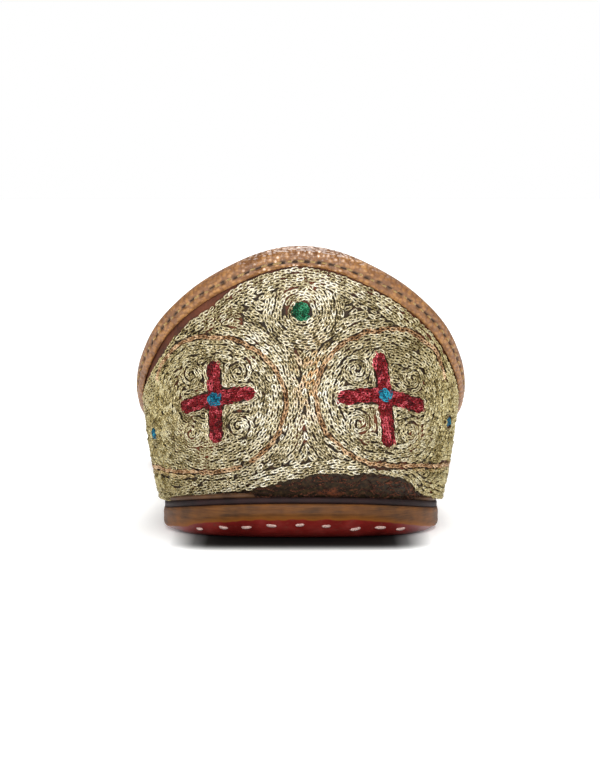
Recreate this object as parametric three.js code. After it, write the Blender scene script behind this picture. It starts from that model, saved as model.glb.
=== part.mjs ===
// A mojari: a flat leather slipper with a low collar, a straight last and a toe that turns up a little.
// Millimetres, +Z up. The toe points to +Y and the heel to -Y. The shoe is the same on both sides of x = 0.
//
// Lengths along the shoe are measured from the back edge of the sole and called "along". A station is a
// length round the edge of the last: an arc round the heel first, then straight on towards the toe.
import * as THREE from 'three';
import { mergeVertices } from 'three/addons/utils/BufferGeometryUtils.js';

// Driving sizes.
const SOLE_LENGTH = 280;
const SEAT_RADIUS = 32.2; // the heel end of the sole is half a circle
const BALL_ALONG = 195;
const BALL_HALF = 41.5;
const TOE_FULLNESS = 2.2; // higher is a blunter toe
const TOE_ROUNDNESS = 2 / 3; // lower is a rounder tip
const OUTSOLE_THICKNESS = 4.8;
const MIDSOLE_THICKNESS = 1.0;
const INSOLE_THICKNESS = 0.9;
const UPPER_WALL = 2.0;
const TIP_WALL = 3.2; // the wall is thicker at the very tip of the toe
const BINDING_LEATHER = 1.0;
const BINDING_DEPTH = 2.9; // how far the folded strip reaches down the outside
const BINDING_DEPTH_INSIDE = 2.9;
const BINDING_GAP = 0.45; // between the strip and the wall it clasps
const SEAM_GAP = 0.3; // between curved pieces that touch

// The heel end of the sole is drawn up, the waist arches a little and the toe springs up.
const HEEL_LIFT = { height: 3.6, reach: 30, power: 1.5 };
const WAIST_ARCH = { height: 1.4, start: 78, end: 165 };
const TOE_SPRING = { height: 12, start: 205, power: 2 };

// The lower edge of the outsole is worn round, most of all at the back.
const EDGE_WEAR = { side: 1.0, back: 4.7, reach: 26, power: 1.2, width: 12, steepness: 3 };

// The throat is where the vamp's edge crosses the middle of the instep.
const THROAT_ALONG = 150;
const TUCK_HEIGHT = 2.6; // how quickly the turned-in foot of the upper swings out to the belly

// Small steps for slopes: a length along the last, an angle up it, and the same to find a point by trial.
const SLOPE_STEP = 0.4;
const SLOPE_TURN = 0.02;
const TRIAL_STEP = 0.2;
const TRIAL_TURN = 0.01;
const TRIALS = 6;
const SAME_POINT = 1e-3; // points closer than this are one
const NO_AREA = 1e-7; // triangles smaller than this are left out

const QUARTER_TURN = Math.PI / 2;
const HEEL_ARC = SEAT_RADIUS * QUARTER_TURN;
const heel = (degrees) => SEAT_RADIUS * THREE.MathUtils.degToRad(degrees);
const along = (length) => HEEL_ARC + length - SEAT_RADIUS;
const alongOf = (station) => station - HEEL_ARC + SEAT_RADIUS;

// Half width of the sole between the heel seat and the ball.
const WAIST = [
  { at: 32.2, half: 32.2 },
  { at: 66, half: 31.3 },
  { at: 105, half: 29.4 },
  { at: 150, half: 35.8 },
  { at: 195, half: 41.5 },
];

// Sections of the last, from the middle of the back round the heel and on to the tip of the toe.
// over: how far the belly stands out past the sole. arch: height of the whole arch over the foot.
// round: shape of that arch, 1 is an ellipse. flare: lean outwards. tuck: how far the foot turns in.
const LAST = [
  { at: heel(0), over: 1.0, arch: 112, round: 0.5, flare: 0.0, tuck: 3.4 },
  { at: heel(45), over: 1.1, arch: 112, round: 0.5, flare: 0.075, tuck: 2.0 },
  { at: heel(90), over: 1.2, arch: 106, round: 0.5, flare: 0.165, tuck: 0.4 },
  { at: along(66), over: 1.2, arch: 84, round: 0.52, flare: 0.175, tuck: 0.4 },
  { at: along(105), over: 1.5, arch: 60, round: 0.58, flare: 0.11, tuck: 0.6 },
  { at: along(150), over: 1.9, arch: 44.5, round: 0.66, flare: 0.02, tuck: 0.8 },
  { at: along(195), over: 1.9, arch: 29, round: 0.74, flare: 0, tuck: 0.7 },
  { at: along(235), over: 1.5, arch: 19.5, round: 0.76, flare: 0, tuck: 0.5 },
  { at: along(262), over: 1.1, arch: 13.5, round: 0.76, flare: 0, tuck: 0.3 },
  { at: along(275), over: 1.0, arch: 9.0, round: 0.78, flare: 0, tuck: 0.1 },
  { at: along(281), over: 1.0, arch: 3.0, round: 0.8, flare: 0, tuck: 0.0 },
];

// Height of the upper's cut edge above the floor, under the binding.
const TOPLINE = [
  { at: heel(0), top: 65.0 },
  { at: heel(15), top: 63.7 },
  { at: heel(30), top: 60.0 },
  { at: heel(45), top: 54.9 },
  { at: heel(60), top: 48.3 },
  { at: heel(75), top: 40.1 },
  { at: heel(90), top: 33.0 },
  { at: along(45), top: 28.0 },
  { at: along(60), top: 25.0 },
  { at: along(80), top: 24.2 },
  { at: along(97), top: 26.0 },
  { at: along(110), top: 30.6 },
  { at: along(122), top: 37.4 },
  { at: along(132), top: 43.8 },
  { at: along(141), top: 49.0 },
];

// Smooth curve through the rows of a table, level at the first row.
function read(rows, column, where) {
  const at = THREE.MathUtils.clamp(Math.abs(where), rows[0].at, rows[rows.length - 1].at);
  const slope = (i) => (rows[i + 1][column] - rows[i][column]) / (rows[i + 1].at - rows[i].at);
  const tangent = (i) => {
    if (i === 0) return 0;
    if (i === rows.length - 1) return slope(i - 1);
    const before = rows[i].at - rows[i - 1].at;
    const after = rows[i + 1].at - rows[i].at;
    return (slope(i - 1) * after + slope(i) * before) / (before + after);
  };
  let i = 0;
  while (i < rows.length - 2 && at > rows[i + 1].at) i += 1;
  const span = rows[i + 1].at - rows[i].at;
  const t = (at - rows[i].at) / span;
  const rise = t * t * (3 - 2 * t);
  return rows[i][column] * (1 - rise)
    + rows[i + 1][column] * rise
    + tangent(i) * span * t * (1 - t) * (1 - t)
    - tangent(i + 1) * span * t * t * (1 - t);
}

// Half width of the sole's outline, grown by the same amount all round.
function halfWidth(length, grow) {
  if (length <= SEAT_RADIUS) {
    const radius = SEAT_RADIUS + grow;
    return Math.sqrt(Math.max(radius ** 2 - (SEAT_RADIUS - length) ** 2, 0));
  }
  if (length <= BALL_ALONG) return read(WAIST, 'half', length) + grow;
  const reach = Math.min((length - BALL_ALONG) / (SOLE_LENGTH + grow - BALL_ALONG), 1);
  return (BALL_HALF + grow) * (1 - reach ** TOE_FULLNESS) ** TOE_ROUNDNESS;
}

// Height of the sole's underside in the middle, over the floor.
function underside(length) {
  const { start, end } = WAIST_ARCH;
  const waist = THREE.MathUtils.clamp((length - start) / (end - start), 0, 1);
  const toe = Math.max(length - TOE_SPRING.start, 0) / (SOLE_LENGTH - TOE_SPRING.start);
  return WAIST_ARCH.height * Math.sin(Math.PI * waist) ** 2 + TOE_SPRING.height * toe ** TOE_SPRING.power;
}

// Height of the top of the outsole. The other layers follow it.
function soleTop(length) {
  const drawn = Math.max(1 - length / HEEL_LIFT.reach, 0);
  return OUTSOLE_THICKNESS + underside(length) + HEEL_LIFT.height * drawn ** HEEL_LIFT.power;
}

const MIDSOLE_BOTTOM = SEAM_GAP;
const MIDSOLE_TOP = MIDSOLE_BOTTOM + MIDSOLE_THICKNESS;
const INSOLE_BOTTOM = MIDSOLE_TOP + SEAM_GAP;
const INSOLE_TOP = INSOLE_BOTTOM + INSOLE_THICKNESS;
const UPPER_FOOT = INSOLE_TOP + SEAM_GAP;

// How far the round lower edge rises above the underside, a distance in from the outline.
function edgeWear(length, inset) {
  const back = Math.max(1 - length / EDGE_WEAR.reach, 0);
  const height = EDGE_WEAR.side + EDGE_WEAR.back * back ** EDGE_WEAR.power;
  return height * Math.max(1 - inset / EDGE_WEAR.width, 0) ** EDGE_WEAR.steepness;
}

// A point of the last's surface. The angle runs from 0 at the foot of the upper to a quarter turn on top.
function lastPoint(station, angle) {
  const grow = read(LAST, 'over', station);
  const arch = read(LAST, 'arch', station);
  const tuck = read(LAST, 'tuck', station);
  const round = read(LAST, 'round', station);
  const flare = read(LAST, 'flare', station);
  const height = arch * Math.sin(angle);
  const onHeel = Math.abs(station) < HEEL_ARC;
  const half = onHeel ? SEAT_RADIUS + grow : halfWidth(alongOf(station), grow);
  const closing = Math.max(Math.cos(angle), 0) ** round;
  const out = half * closing + flare * height - tuck * Math.exp(-height / TUCK_HEIGHT) * closing;
  if (!onHeel) {
    const length = alongOf(station);
    return new THREE.Vector3(out, length, soleTop(length) + UPPER_FOOT + height);
  }
  const turn = station / SEAT_RADIUS;
  const footLength = SEAT_RADIUS - (half - tuck) * Math.cos(turn);
  return new THREE.Vector3(
    out * Math.sin(turn),
    SEAT_RADIUS - out * Math.cos(turn),
    soleTop(footLength) + UPPER_FOOT + height,
  );
}

const LAST_TIP = LAST[LAST.length - 1].at;
const TIP_RADIUS = 1.5; // nearer the tip than this, the surface keeps the direction that it has here

// The outward direction of the last's surface, by small steps either way.
function lastNormal(station, angle) {
  const at = Math.min(station, LAST_TIP - TIP_RADIUS);
  const onward = lastPoint(at + SLOPE_STEP, angle).sub(lastPoint(at - SLOPE_STEP, angle));
  const upward = lastPoint(at, angle + SLOPE_TURN).sub(lastPoint(at, angle - SLOPE_TURN));
  return onward.cross(upward).normalize();
}

// Walks over the last from a station and angle by a small step, and gives the station and angle reached.
function walk(station, angle, step) {
  const target = lastPoint(station, angle).add(step);
  let at = station;
  let turn = angle;
  for (let i = 0; i < TRIALS; i += 1) {
    const here = lastPoint(at, turn);
    const onward = lastPoint(at + TRIAL_STEP, turn).sub(here).divideScalar(TRIAL_STEP);
    const upward = here.clone().sub(lastPoint(at, turn - TRIAL_TURN)).divideScalar(TRIAL_TURN);
    const miss = target.clone().sub(here);
    const [a, b, c] = [onward.dot(onward), onward.dot(upward), upward.dot(upward)];
    const [u, v] = [miss.dot(onward), miss.dot(upward)];
    const scale = a * c - b * b;
    at += (u * c - v * b) / scale;
    turn = Math.min(turn + (v * a - u * b) / scale, QUARTER_TURN);
  }
  return { at, turn };
}

// The angle at which the upper is cut, a quarter turn where it closes over the foot.
function cutAngle(station) {
  const throat = along(THROAT_ALONG);
  if (station >= throat) return QUARTER_TURN;
  const foot = lastPoint(station, 0).z;
  const crown = lastPoint(throat, QUARTER_TURN).z;
  const rows = [...TOPLINE, { at: throat, top: crown }];
  const share = (read(rows, 'top', station) - foot) / read(LAST, 'arch', station);
  return Math.asin(THREE.MathUtils.clamp(share, 0, 1));
}

// Stations of the upper: even round the heel and along the sides, closer at the throat and the tip.
const spread = (count, place) => Array.from({ length: count }, (_, i) => place((i + 1) / count));
const SIDE_END = 112;
const VAMP_END = 255;
const VAMP_CROWDING = 1.15; // over 1 puts more of the vamp's stations near the throat
const UPPER_STATIONS = [
  0,
  ...spread(11, (t) => heel(90 * t)),
  ...spread(8, (t) => along(SEAT_RADIUS + (SIDE_END - SEAT_RADIUS) * t)),
  ...spread(13, (t) => along(THROAT_ALONG - (THROAT_ALONG - SIDE_END) * (1 - t) ** 2)),
  ...spread(9, (t) => along(THROAT_ALONG + (VAMP_END - THROAT_ALONG) * t ** VAMP_CROWDING)),
  ...spread(6, (t) => along(VAMP_END) + (LAST_TIP - along(VAMP_END)) * Math.sin(QUARTER_TURN * t)),
];
const COLLAR_STATIONS = UPPER_STATIONS.filter((station) => alongOf(station) < THROAT_ALONG + SAME_POINT);

// Rows of the upper from its foot to its cut edge, closer together at both.
const UPPER_ROWS = 12;
const FOOT_CROWDING = 1.4;
const EDGE_CROWDING = 1.3;
const rowShare = (j) => 1 - (1 - (j / UPPER_ROWS) ** FOOT_CROWDING) ** EDGE_CROWDING;

// Triangles of one half, kept with their mirror image so that every piece is even about x = 0.
class Skin {
  constructor() {
    this.positions = [];
  }

  triangle(a, b, c) {
    const corners = [a, b, c];
    const area = b.clone().sub(a).cross(c.clone().sub(a)).length();
    if (area < NO_AREA) return;
    corners.forEach((p) => this.positions.push(p.x, p.y, p.z));
    corners.reverse().forEach((p) => this.positions.push(-p.x, p.y, p.z));
  }

  // Rows of points become quads. The face looks to the side where the order runs anticlockwise.
  sheet(rows, flipped = false) {
    for (let i = 0; i < rows.length - 1; i += 1) {
      for (let j = 0; j < rows[i].length - 1; j += 1) {
        const [a, b, c, d] = [rows[i][j], rows[i + 1][j], rows[i + 1][j + 1], rows[i][j + 1]];
        if (flipped) {
          this.triangle(a, c, b);
          this.triangle(a, d, c);
        } else {
          this.triangle(a, b, c);
          this.triangle(a, c, d);
        }
      }
    }
  }

  geometry() {
    const loose = new THREE.BufferGeometry();
    loose.setAttribute('position', new THREE.Float32BufferAttribute(this.positions, 3));
    const whole = mergeVertices(loose, SAME_POINT);
    whole.computeVertexNormals();
    return whole;
  }
}

const middled = (point) => {
  if (Math.abs(point.x) < SAME_POINT) point.x = 0;
  return point;
};

// The upper: one wall from the foot line to the collar, closed over the toes.
function upperGeometry() {
  const outer = UPPER_STATIONS.map((station) => {
    const top = cutAngle(station);
    return Array.from({ length: UPPER_ROWS + 1 }, (_, j) => {
      const angle = top * rowShare(j);
      const point = lastPoint(station, angle);
      if (station === 0 || angle === QUARTER_TURN) point.x = 0;
      const inside = point.clone().addScaledVector(lastNormal(station, angle), -UPPER_WALL);
      if (j === 0) inside.z = point.z;
      if (point.x === 0) inside.x = 0;
      return { point, inside };
    });
  });
  // At the tip of the toe both faces end in an upright line, with its rows evenly spaced.
  const tip = outer[outer.length - 1];
  const foot = tip[0].point.z;
  const outerRise = tip[UPPER_ROWS].point.z - foot;
  const innerRise = tip[UPPER_ROWS].inside.z - foot;
  tip.forEach(({ point, inside }, j) => {
    const share = j / UPPER_ROWS;
    point.set(0, point.y, foot + outerRise * share);
    inside.set(0, point.y - TIP_WALL, foot + innerRise * share);
  });
  const outside = outer.map((row) => row.map((p) => middled(p.point)));
  const inside = outer.map((row) => row.map((p) => middled(p.inside)));
  const open = COLLAR_STATIONS.length;
  const skin = new Skin();
  skin.sheet(outside);
  skin.sheet(inside, true);
  skin.sheet(outside.map((row, i) => [inside[i][0], row[0]]));
  skin.sheet(outside.slice(0, open).map((row, i) => [row[UPPER_ROWS], inside[i][UPPER_ROWS]]));
  return skin.geometry();
}

// The collar binding: a strip folded over the cut edge, all the way round.
function bindingGeometry() {
  const outerFace = BINDING_GAP;
  const innerFace = -UPPER_WALL - BINDING_GAP;
  const middle = (outerFace + innerFace) / 2;
  const fold = (outerFace - innerFace) / 2;
  const full = fold + BINDING_LEATHER;
  // Section in the plane across the strip: out from the upper's outer face, and up past its cut edge.
  const section = [
    { out: outerFace, up: -BINDING_DEPTH },
    { out: outerFace + 0.7 * BINDING_LEATHER, up: -BINDING_DEPTH },
    { out: outerFace + 1.25 * BINDING_LEATHER, up: -0.72 * BINDING_DEPTH },
    { out: outerFace + 1.2 * BINDING_LEATHER, up: -0.2 * BINDING_DEPTH },
    { out: middle + 0.75 * full, up: 0.62 * full },
    { out: middle, up: full * 0.95 },
    { out: middle - 0.75 * full, up: 0.62 * full },
    { out: innerFace - BINDING_LEATHER, up: -0.2 * BINDING_DEPTH },
    { out: innerFace - BINDING_LEATHER, up: -BINDING_DEPTH_INSIDE },
    { out: innerFace, up: -BINDING_DEPTH_INSIDE },
    { out: innerFace, up: BINDING_GAP },
    { out: middle, up: BINDING_GAP * 1.4 },
    { out: outerFace, up: BINDING_GAP },
  ];
  const edge = COLLAR_STATIONS.map((station) => lastPoint(station, cutAngle(station)));
  edge[0].x = 0;
  edge[edge.length - 1].x = 0;
  const mirror = (p) => new THREE.Vector3(-p.x, p.y, p.z);
  const rings = COLLAR_STATIONS.map((station, i) => {
    const before = i > 0 ? edge[i - 1] : mirror(edge[1]);
    const after = i < edge.length - 1 ? edge[i + 1] : mirror(edge[i - 1]);
    const run = after.clone().sub(before).normalize();
    const out = lastNormal(station, cutAngle(station));
    out.addScaledVector(run, -out.dot(run)).normalize();
    const up = out.clone().cross(run);
    const ends = i === 0 || i === edge.length - 1;
    return [...section, section[0]].map((corner) => {
      if (corner.up >= 0) {
        const over = edge[i].clone().addScaledVector(out, corner.out).addScaledVector(up, corner.up);
        return ends ? over.setX(0) : over;
      }
      const { at, turn } = walk(station, cutAngle(station), up.clone().multiplyScalar(corner.up));
      const beside = lastPoint(at, turn).addScaledVector(lastNormal(at, turn), corner.out);
      return ends ? beside.setX(0) : beside;
    });
  });
  const skin = new Skin();
  skin.sheet(rings);
  return skin.geometry();
}

// Stations and rays of the sole's layers. Rays run in from the outline to a spine along the middle,
// and turn about a point at the heel and another near the tip.
const SPINE_END = 250;
const LAYER_STATIONS = [
  { turn: 0 },
  ...spread(9, (t) => ({ turn: QUARTER_TURN * t })),
  ...spread(15, (t) => ({ length: SEAT_RADIUS + (SPINE_END - SEAT_RADIUS) * t })),
  ...spread(8, (t) => ({ toe: Math.sin(QUARTER_TURN * t) })),
];

// The outline point of a station and the point of the spine that its ray runs to. The back is cut
// shorter by setIn.
function ray(station, grow, setIn) {
  if (station.turn !== undefined) {
    const radius = SEAT_RADIUS + grow - setIn * Math.cos(station.turn) ** 2;
    const hub = new THREE.Vector2(0, SEAT_RADIUS);
    const away = new THREE.Vector2(Math.sin(station.turn), -Math.cos(station.turn));
    return { edge: hub.clone().addScaledVector(away, radius), hub };
  }
  const tip = SOLE_LENGTH + grow;
  const length = station.length ?? SPINE_END + (tip - SPINE_END) * station.toe;
  const edge = new THREE.Vector2(halfWidth(length, grow), length);
  return { edge, hub: new THREE.Vector2(0, Math.min(length, SPINE_END)) };
}

// A layer of the sole. Insets are the distances in from its outline where its mesh has a row.
function layerGeometry({ grow, setIn = 0, insets, bottom, top }) {
  const rows = LAYER_STATIONS.map((station) => {
    const { edge, hub } = ray(station, grow, setIn);
    const reach = edge.distanceTo(hub);
    return [...insets, reach].map((inset) => {
      const plan = edge.clone().lerp(hub, Math.min(inset / reach, 1));
      if (station.turn === 0 || station.toe === 1 || inset === reach) plan.x = 0;
      return { plan, inset };
    });
  });
  const raised = (height) => rows.map((row) => row.map(({ plan, inset }) => (
    new THREE.Vector3(plan.x, plan.y, height(plan.y, inset)))));
  const floor = raised(bottom);
  const roof = raised(top);
  const skin = new Skin();
  skin.sheet(roof);
  skin.sheet(floor, true);
  skin.sheet(rows.map((_, i) => [floor[i][0], roof[i][0]]));
  return skin.geometry();
}

const INNER_LAYER_INSETS = [0, 6, 14];
const INSOLE_SET_IN = 0.3;
const INSOLE_HEEL_SET_IN = 2.4; // the upper is tucked in over it at the back

const outsoleGeometry = () => layerGeometry({
  grow: 0,
  insets: [0, 1.2, 3, 5.5, 8.5, EDGE_WEAR.width],
  bottom: (length, inset) => underside(length) + edgeWear(length, inset),
  top: (length) => soleTop(length),
});

const midsoleGeometry = () => layerGeometry({
  grow: 0,
  insets: INNER_LAYER_INSETS,
  bottom: (length) => soleTop(length) + MIDSOLE_BOTTOM,
  top: (length) => soleTop(length) + MIDSOLE_TOP,
});

const insoleGeometry = () => layerGeometry({
  grow: -INSOLE_SET_IN,
  setIn: INSOLE_HEEL_SET_IN,
  insets: INNER_LAYER_INSETS,
  bottom: (length) => soleTop(length) + INSOLE_BOTTOM,
  top: (length) => soleTop(length) + INSOLE_TOP,
});

const PIECES = [
  { name: 'outsole', shape: outsoleGeometry, color: 0x7c1f1c, roughness: 0.35 },
  { name: 'midsole', shape: midsoleGeometry, color: 0x3a2a30, roughness: 0.7 },
  { name: 'insole', shape: insoleGeometry, color: 0x8a6238, roughness: 0.6 },
  { name: 'upper', shape: upperGeometry, color: 0xb9a878, roughness: 0.5 },
  { name: 'collar_binding', shape: bindingGeometry, color: 0x96714b, roughness: 0.5 },
];

const shoe = new THREE.Group();
shoe.name = 'mojari';
PIECES.forEach(({ name, shape, color, roughness }) => {
  const material = new THREE.MeshStandardMaterial({ color, roughness, metalness: 0 });
  const mesh = new THREE.Mesh(shape(), material);
  mesh.name = name;
  shoe.add(mesh);
});

// The origin is under the middle of the whole shoe, on the floor.
const extent = new THREE.Box3().setFromObject(shoe);
shoe.position.y = -(extent.min.y + extent.max.y) / 2;

export default shoe;
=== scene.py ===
import math

import bpy
import bmesh
import numpy as np
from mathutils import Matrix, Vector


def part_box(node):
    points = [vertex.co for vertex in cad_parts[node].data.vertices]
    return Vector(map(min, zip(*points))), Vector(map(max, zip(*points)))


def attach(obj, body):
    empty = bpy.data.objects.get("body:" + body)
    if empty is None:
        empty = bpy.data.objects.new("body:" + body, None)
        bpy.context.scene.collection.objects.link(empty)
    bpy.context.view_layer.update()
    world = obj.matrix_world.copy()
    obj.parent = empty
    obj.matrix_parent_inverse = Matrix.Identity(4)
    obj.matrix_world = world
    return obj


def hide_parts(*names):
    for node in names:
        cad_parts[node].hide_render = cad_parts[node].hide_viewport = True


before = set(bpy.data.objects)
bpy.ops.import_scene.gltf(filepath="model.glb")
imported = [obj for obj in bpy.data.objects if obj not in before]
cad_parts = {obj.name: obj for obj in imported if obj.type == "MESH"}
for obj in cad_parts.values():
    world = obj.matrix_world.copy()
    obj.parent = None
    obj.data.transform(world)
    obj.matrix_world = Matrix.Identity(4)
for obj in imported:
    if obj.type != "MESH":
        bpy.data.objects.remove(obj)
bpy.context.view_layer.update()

# A mojari in embroidered leather. Lengths are in millimetres until a mesh is made. Points are (x, along, z),
# with "along" measured from the back edge of the sole and z from the floor. A station is a length round the
# last: an arc round the heel, then straight on. The last's own sizes are the same as in the part's source.
MM = 0.001
BACK_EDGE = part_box("outsole")[0].y / MM
RANDOM = np.random.default_rng(11)

SEAT_RADIUS = 32.2
SOLE_LENGTH = 280.0
BALL_ALONG = 195.0
BALL_HALF = 41.5
TOE_FULLNESS = 2.2
TOE_ROUNDNESS = 2 / 3
OUTSOLE_THICKNESS = 4.8
UPPER_FOOT = 2.8
UPPER_WALL = 2.0
THROAT_ALONG = 150.0
TUCK_HEIGHT = 2.6
HEEL_LIFT_HEIGHT, HEEL_LIFT_REACH, HEEL_LIFT_POWER = 3.6, 30.0, 1.5
WAIST_ARCH_HEIGHT, WAIST_ARCH_START, WAIST_ARCH_END = 1.4, 78.0, 165.0
TOE_SPRING_HEIGHT, TOE_SPRING_START = 12.0, 205.0
WEAR_SIDE, WEAR_BACK, WEAR_REACH, WEAR_POWER = 1.0, 4.7, 26.0, 1.2
WEAR_WIDTH, WEAR_CORNER, WEAR_CORNER_ALONG, WEAR_SIDE_WIDTH, WEAR_STEEPNESS = 12.0, 3.0, 14.0, 3.4, 3
STRAIGHT_END = 250.0
HEEL_ARC = SEAT_RADIUS * math.pi / 2
HEEL_SQUARE = 2.3
INSOLE_RECESS = 6.5
RECESS_START, RECESS_RISE, RECESS_END, RECESS_FALL = -15.0, 9.0, 38.0, 16.0
WALL_DROP, WALL_DROP_REACH = 1.2, 3.0


def heel(degrees):
    return SEAT_RADIUS * math.radians(degrees)


def station_at(length):
    return HEEL_ARC + length - SEAT_RADIUS


# at, half width of the sole
WAIST = ((32.2, 32.2), (66, 31.3), (105, 29.4), (150, 35.8), (195, 41.5))

# at, belly past the sole, arch height, roundness, flare, tuck
LAST = (
    (heel(0), 1.0, 112, 0.50, 0.000, 3.4),
    (heel(45), 1.1, 112, 0.50, 0.075, 2.0),
    (heel(90), 1.2, 106, 0.50, 0.165, 0.4),
    (station_at(66), 1.2, 84, 0.52, 0.175, 0.4),
    (station_at(105), 1.5, 60, 0.58, 0.110, 0.6),
    (station_at(150), 1.9, 44.5, 0.66, 0.020, 0.8),
    (station_at(195), 1.9, 29, 0.74, 0.000, 0.7),
    (station_at(235), 1.5, 19.5, 0.76, 0.000, 0.5),
    (station_at(262), 1.1, 13.5, 0.76, 0.000, 0.3),
    (station_at(275), 1.0, 9, 0.78, 0.000, 0.1),
    (station_at(281), 1.0, 3, 0.80, 0.000, 0.0),
)
OVER, ARCH, ROUND, FLARE, TUCK = 1, 2, 3, 4, 5
LAST_TIP = LAST[-1][0]

# at, height of the upper's cut edge over the floor
TOPLINE = (
    (heel(0), 65.0), (heel(15), 63.7), (heel(30), 60.0), (heel(45), 54.9), (heel(60), 48.3), (heel(75), 40.1),
    (heel(90), 33.0), (station_at(45), 28.0), (station_at(60), 25.0), (station_at(80), 24.2),
    (station_at(97), 26.0), (station_at(110), 30.6), (station_at(122), 37.4), (station_at(132), 43.8),
    (station_at(141), 49.0),
)


def read(table, column, where):
    """Smooth curve through a column of a table, level at its first row."""
    table = np.asarray(table, float)
    at, value = table[:, 0], table[:, column]
    x = np.clip(np.abs(np.asarray(where, float)), at[0], at[-1])
    span = np.diff(at)
    slope = np.diff(value) / span
    tangent = np.zeros(len(at))
    tangent[1:-1] = (slope[:-1] * span[1:] + slope[1:] * span[:-1]) / (span[:-1] + span[1:])
    tangent[-1] = slope[-1]
    i = np.clip(np.searchsorted(at, x, side="left") - 1, 0, len(at) - 2)
    t = (x - at[i]) / span[i]
    rise = t * t * (3 - 2 * t)
    return (
        value[i] * (1 - rise) + value[i + 1] * rise
        + tangent[i] * span[i] * t * (1 - t) ** 2 - tangent[i + 1] * span[i] * t * t * (1 - t)
    )


def half_width(along, grow):
    """Half width of the sole's outline, grown all round."""
    along = np.asarray(along, float)
    seat = np.sqrt(np.maximum((SEAT_RADIUS + grow) ** 2 - (SEAT_RADIUS - along) ** 2, 0))
    waist = read(WAIST, 1, along) + grow
    reach = np.clip((along - BALL_ALONG) / (SOLE_LENGTH + grow - BALL_ALONG), 0, 1)
    toe = (BALL_HALF + grow) * (1 - reach ** TOE_FULLNESS) ** TOE_ROUNDNESS
    return np.where(along <= SEAT_RADIUS, seat, np.where(along <= BALL_ALONG, waist, toe))


def underside(along):
    waist = np.clip((along - WAIST_ARCH_START) / (WAIST_ARCH_END - WAIST_ARCH_START), 0, 1)
    toe = np.maximum(along - TOE_SPRING_START, 0) / (SOLE_LENGTH - TOE_SPRING_START)
    return WAIST_ARCH_HEIGHT * np.sin(np.pi * waist) ** 2 + TOE_SPRING_HEIGHT * toe ** 2


def sole_top(along):
    drawn = np.maximum(1 - along / HEEL_LIFT_REACH, 0)
    return OUTSOLE_THICKNESS + underside(along) + HEEL_LIFT_HEIGHT * drawn ** HEEL_LIFT_POWER


def edge_wear(along, inset):
    """How far the sole's underside is worn and drawn up near its edge."""
    back = WEAR_BACK * np.maximum(1 - along / WEAR_REACH, 0) ** WEAR_POWER
    width = WEAR_CORNER + (WEAR_WIDTH - WEAR_CORNER) * np.maximum(1 - along / WEAR_CORNER_ALONG, 0)
    side = WEAR_SIDE * np.maximum(1 - inset / WEAR_SIDE_WIDTH, 0) ** WEAR_STEEPNESS
    return back * np.maximum(1 - inset / width, 0) ** WEAR_STEEPNESS + side


def worn_underside(along, inset):
    return underside(along) + edge_wear(along, inset)


def ease(value):
    value = np.clip(value, 0, 1)
    return value * value * (3 - 2 * value)


def recess(station):
    """Where the insole is drawn in at the back and the wall's leather reaches down beside it."""
    station = np.asarray(station)
    return ease((station - RECESS_START) / RECESS_RISE) * ease((RECESS_END - station) / RECESS_FALL)


def heel_radius(turn, radius):
    """The sole is a little squarer at the back than an arc."""
    return radius / (np.sin(turn) ** HEEL_SQUARE + np.cos(turn) ** HEEL_SQUARE) ** (1 / HEEL_SQUARE)


def last_point(station, angle):
    """The last's surface on the right side. The angle is 0 at the foot and a quarter turn on top."""
    station = np.asarray(station, float)
    grow, arch = read(LAST, OVER, station), read(LAST, ARCH, station)
    height = arch * np.sin(angle)
    along = station - HEEL_ARC + SEAT_RADIUS
    on_heel = np.abs(station) < HEEL_ARC
    half = np.where(on_heel, SEAT_RADIUS + grow, half_width(along, grow))
    closing = np.maximum(np.cos(angle), 0) ** read(LAST, ROUND, station)
    tuck = read(LAST, TUCK, station)
    out = half * closing + read(LAST, FLARE, station) * height
    out = out - tuck * np.exp(-height / TUCK_HEIGHT) * closing
    turn = station / SEAT_RADIUS
    foot = SEAT_RADIUS - (half - tuck) * np.cos(turn)
    x = np.where(on_heel, out * np.sin(turn), out)
    y = np.where(on_heel, SEAT_RADIUS - out * np.cos(turn), along)
    z = np.where(on_heel, sole_top(foot), sole_top(along)) + UPPER_FOOT + height
    return np.stack([x, y, z], -1)


def unit(vectors):
    return vectors / np.maximum(np.linalg.norm(vectors, axis=-1, keepdims=True), 1e-12)


def lengths_along(points, axis=0):
    """Length walked from the first point to each."""
    gaps = np.linalg.norm(np.diff(points, axis=axis), axis=-1)
    return np.insert(np.cumsum(gaps, axis=axis), 0, 0, axis=axis)


def at_lengths(points, lengths, wanted):
    """Flat points at the wanted lengths along a path."""
    return np.stack([np.interp(wanted, lengths, points[:, k]) for k in (0, 1)], 1)


def between(grid, row, column):
    """Values of a grid at places between its rows and columns."""
    i, j = (np.clip(at, 0, size - 1.001) for at, size in zip((row, column), grid.shape))
    i0, j0 = i.astype(int), j.astype(int)
    fi, fj = i - i0, j - j0
    low = grid[i0, j0] * (1 - fj) + grid[i0, j0 + 1] * fj
    high = grid[i0 + 1, j0] * (1 - fj) + grid[i0 + 1, j0 + 1] * fj
    return low * (1 - fi) + high * fi


def last_normal(station, angle):
    at = np.minimum(station, LAST_TIP - 1.5)
    onward = last_point(at + 0.4, angle) - last_point(at - 0.4, angle)
    upward = last_point(at, angle + 0.02) - last_point(at, angle - 0.02)
    return unit(np.cross(onward, upward))


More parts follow.
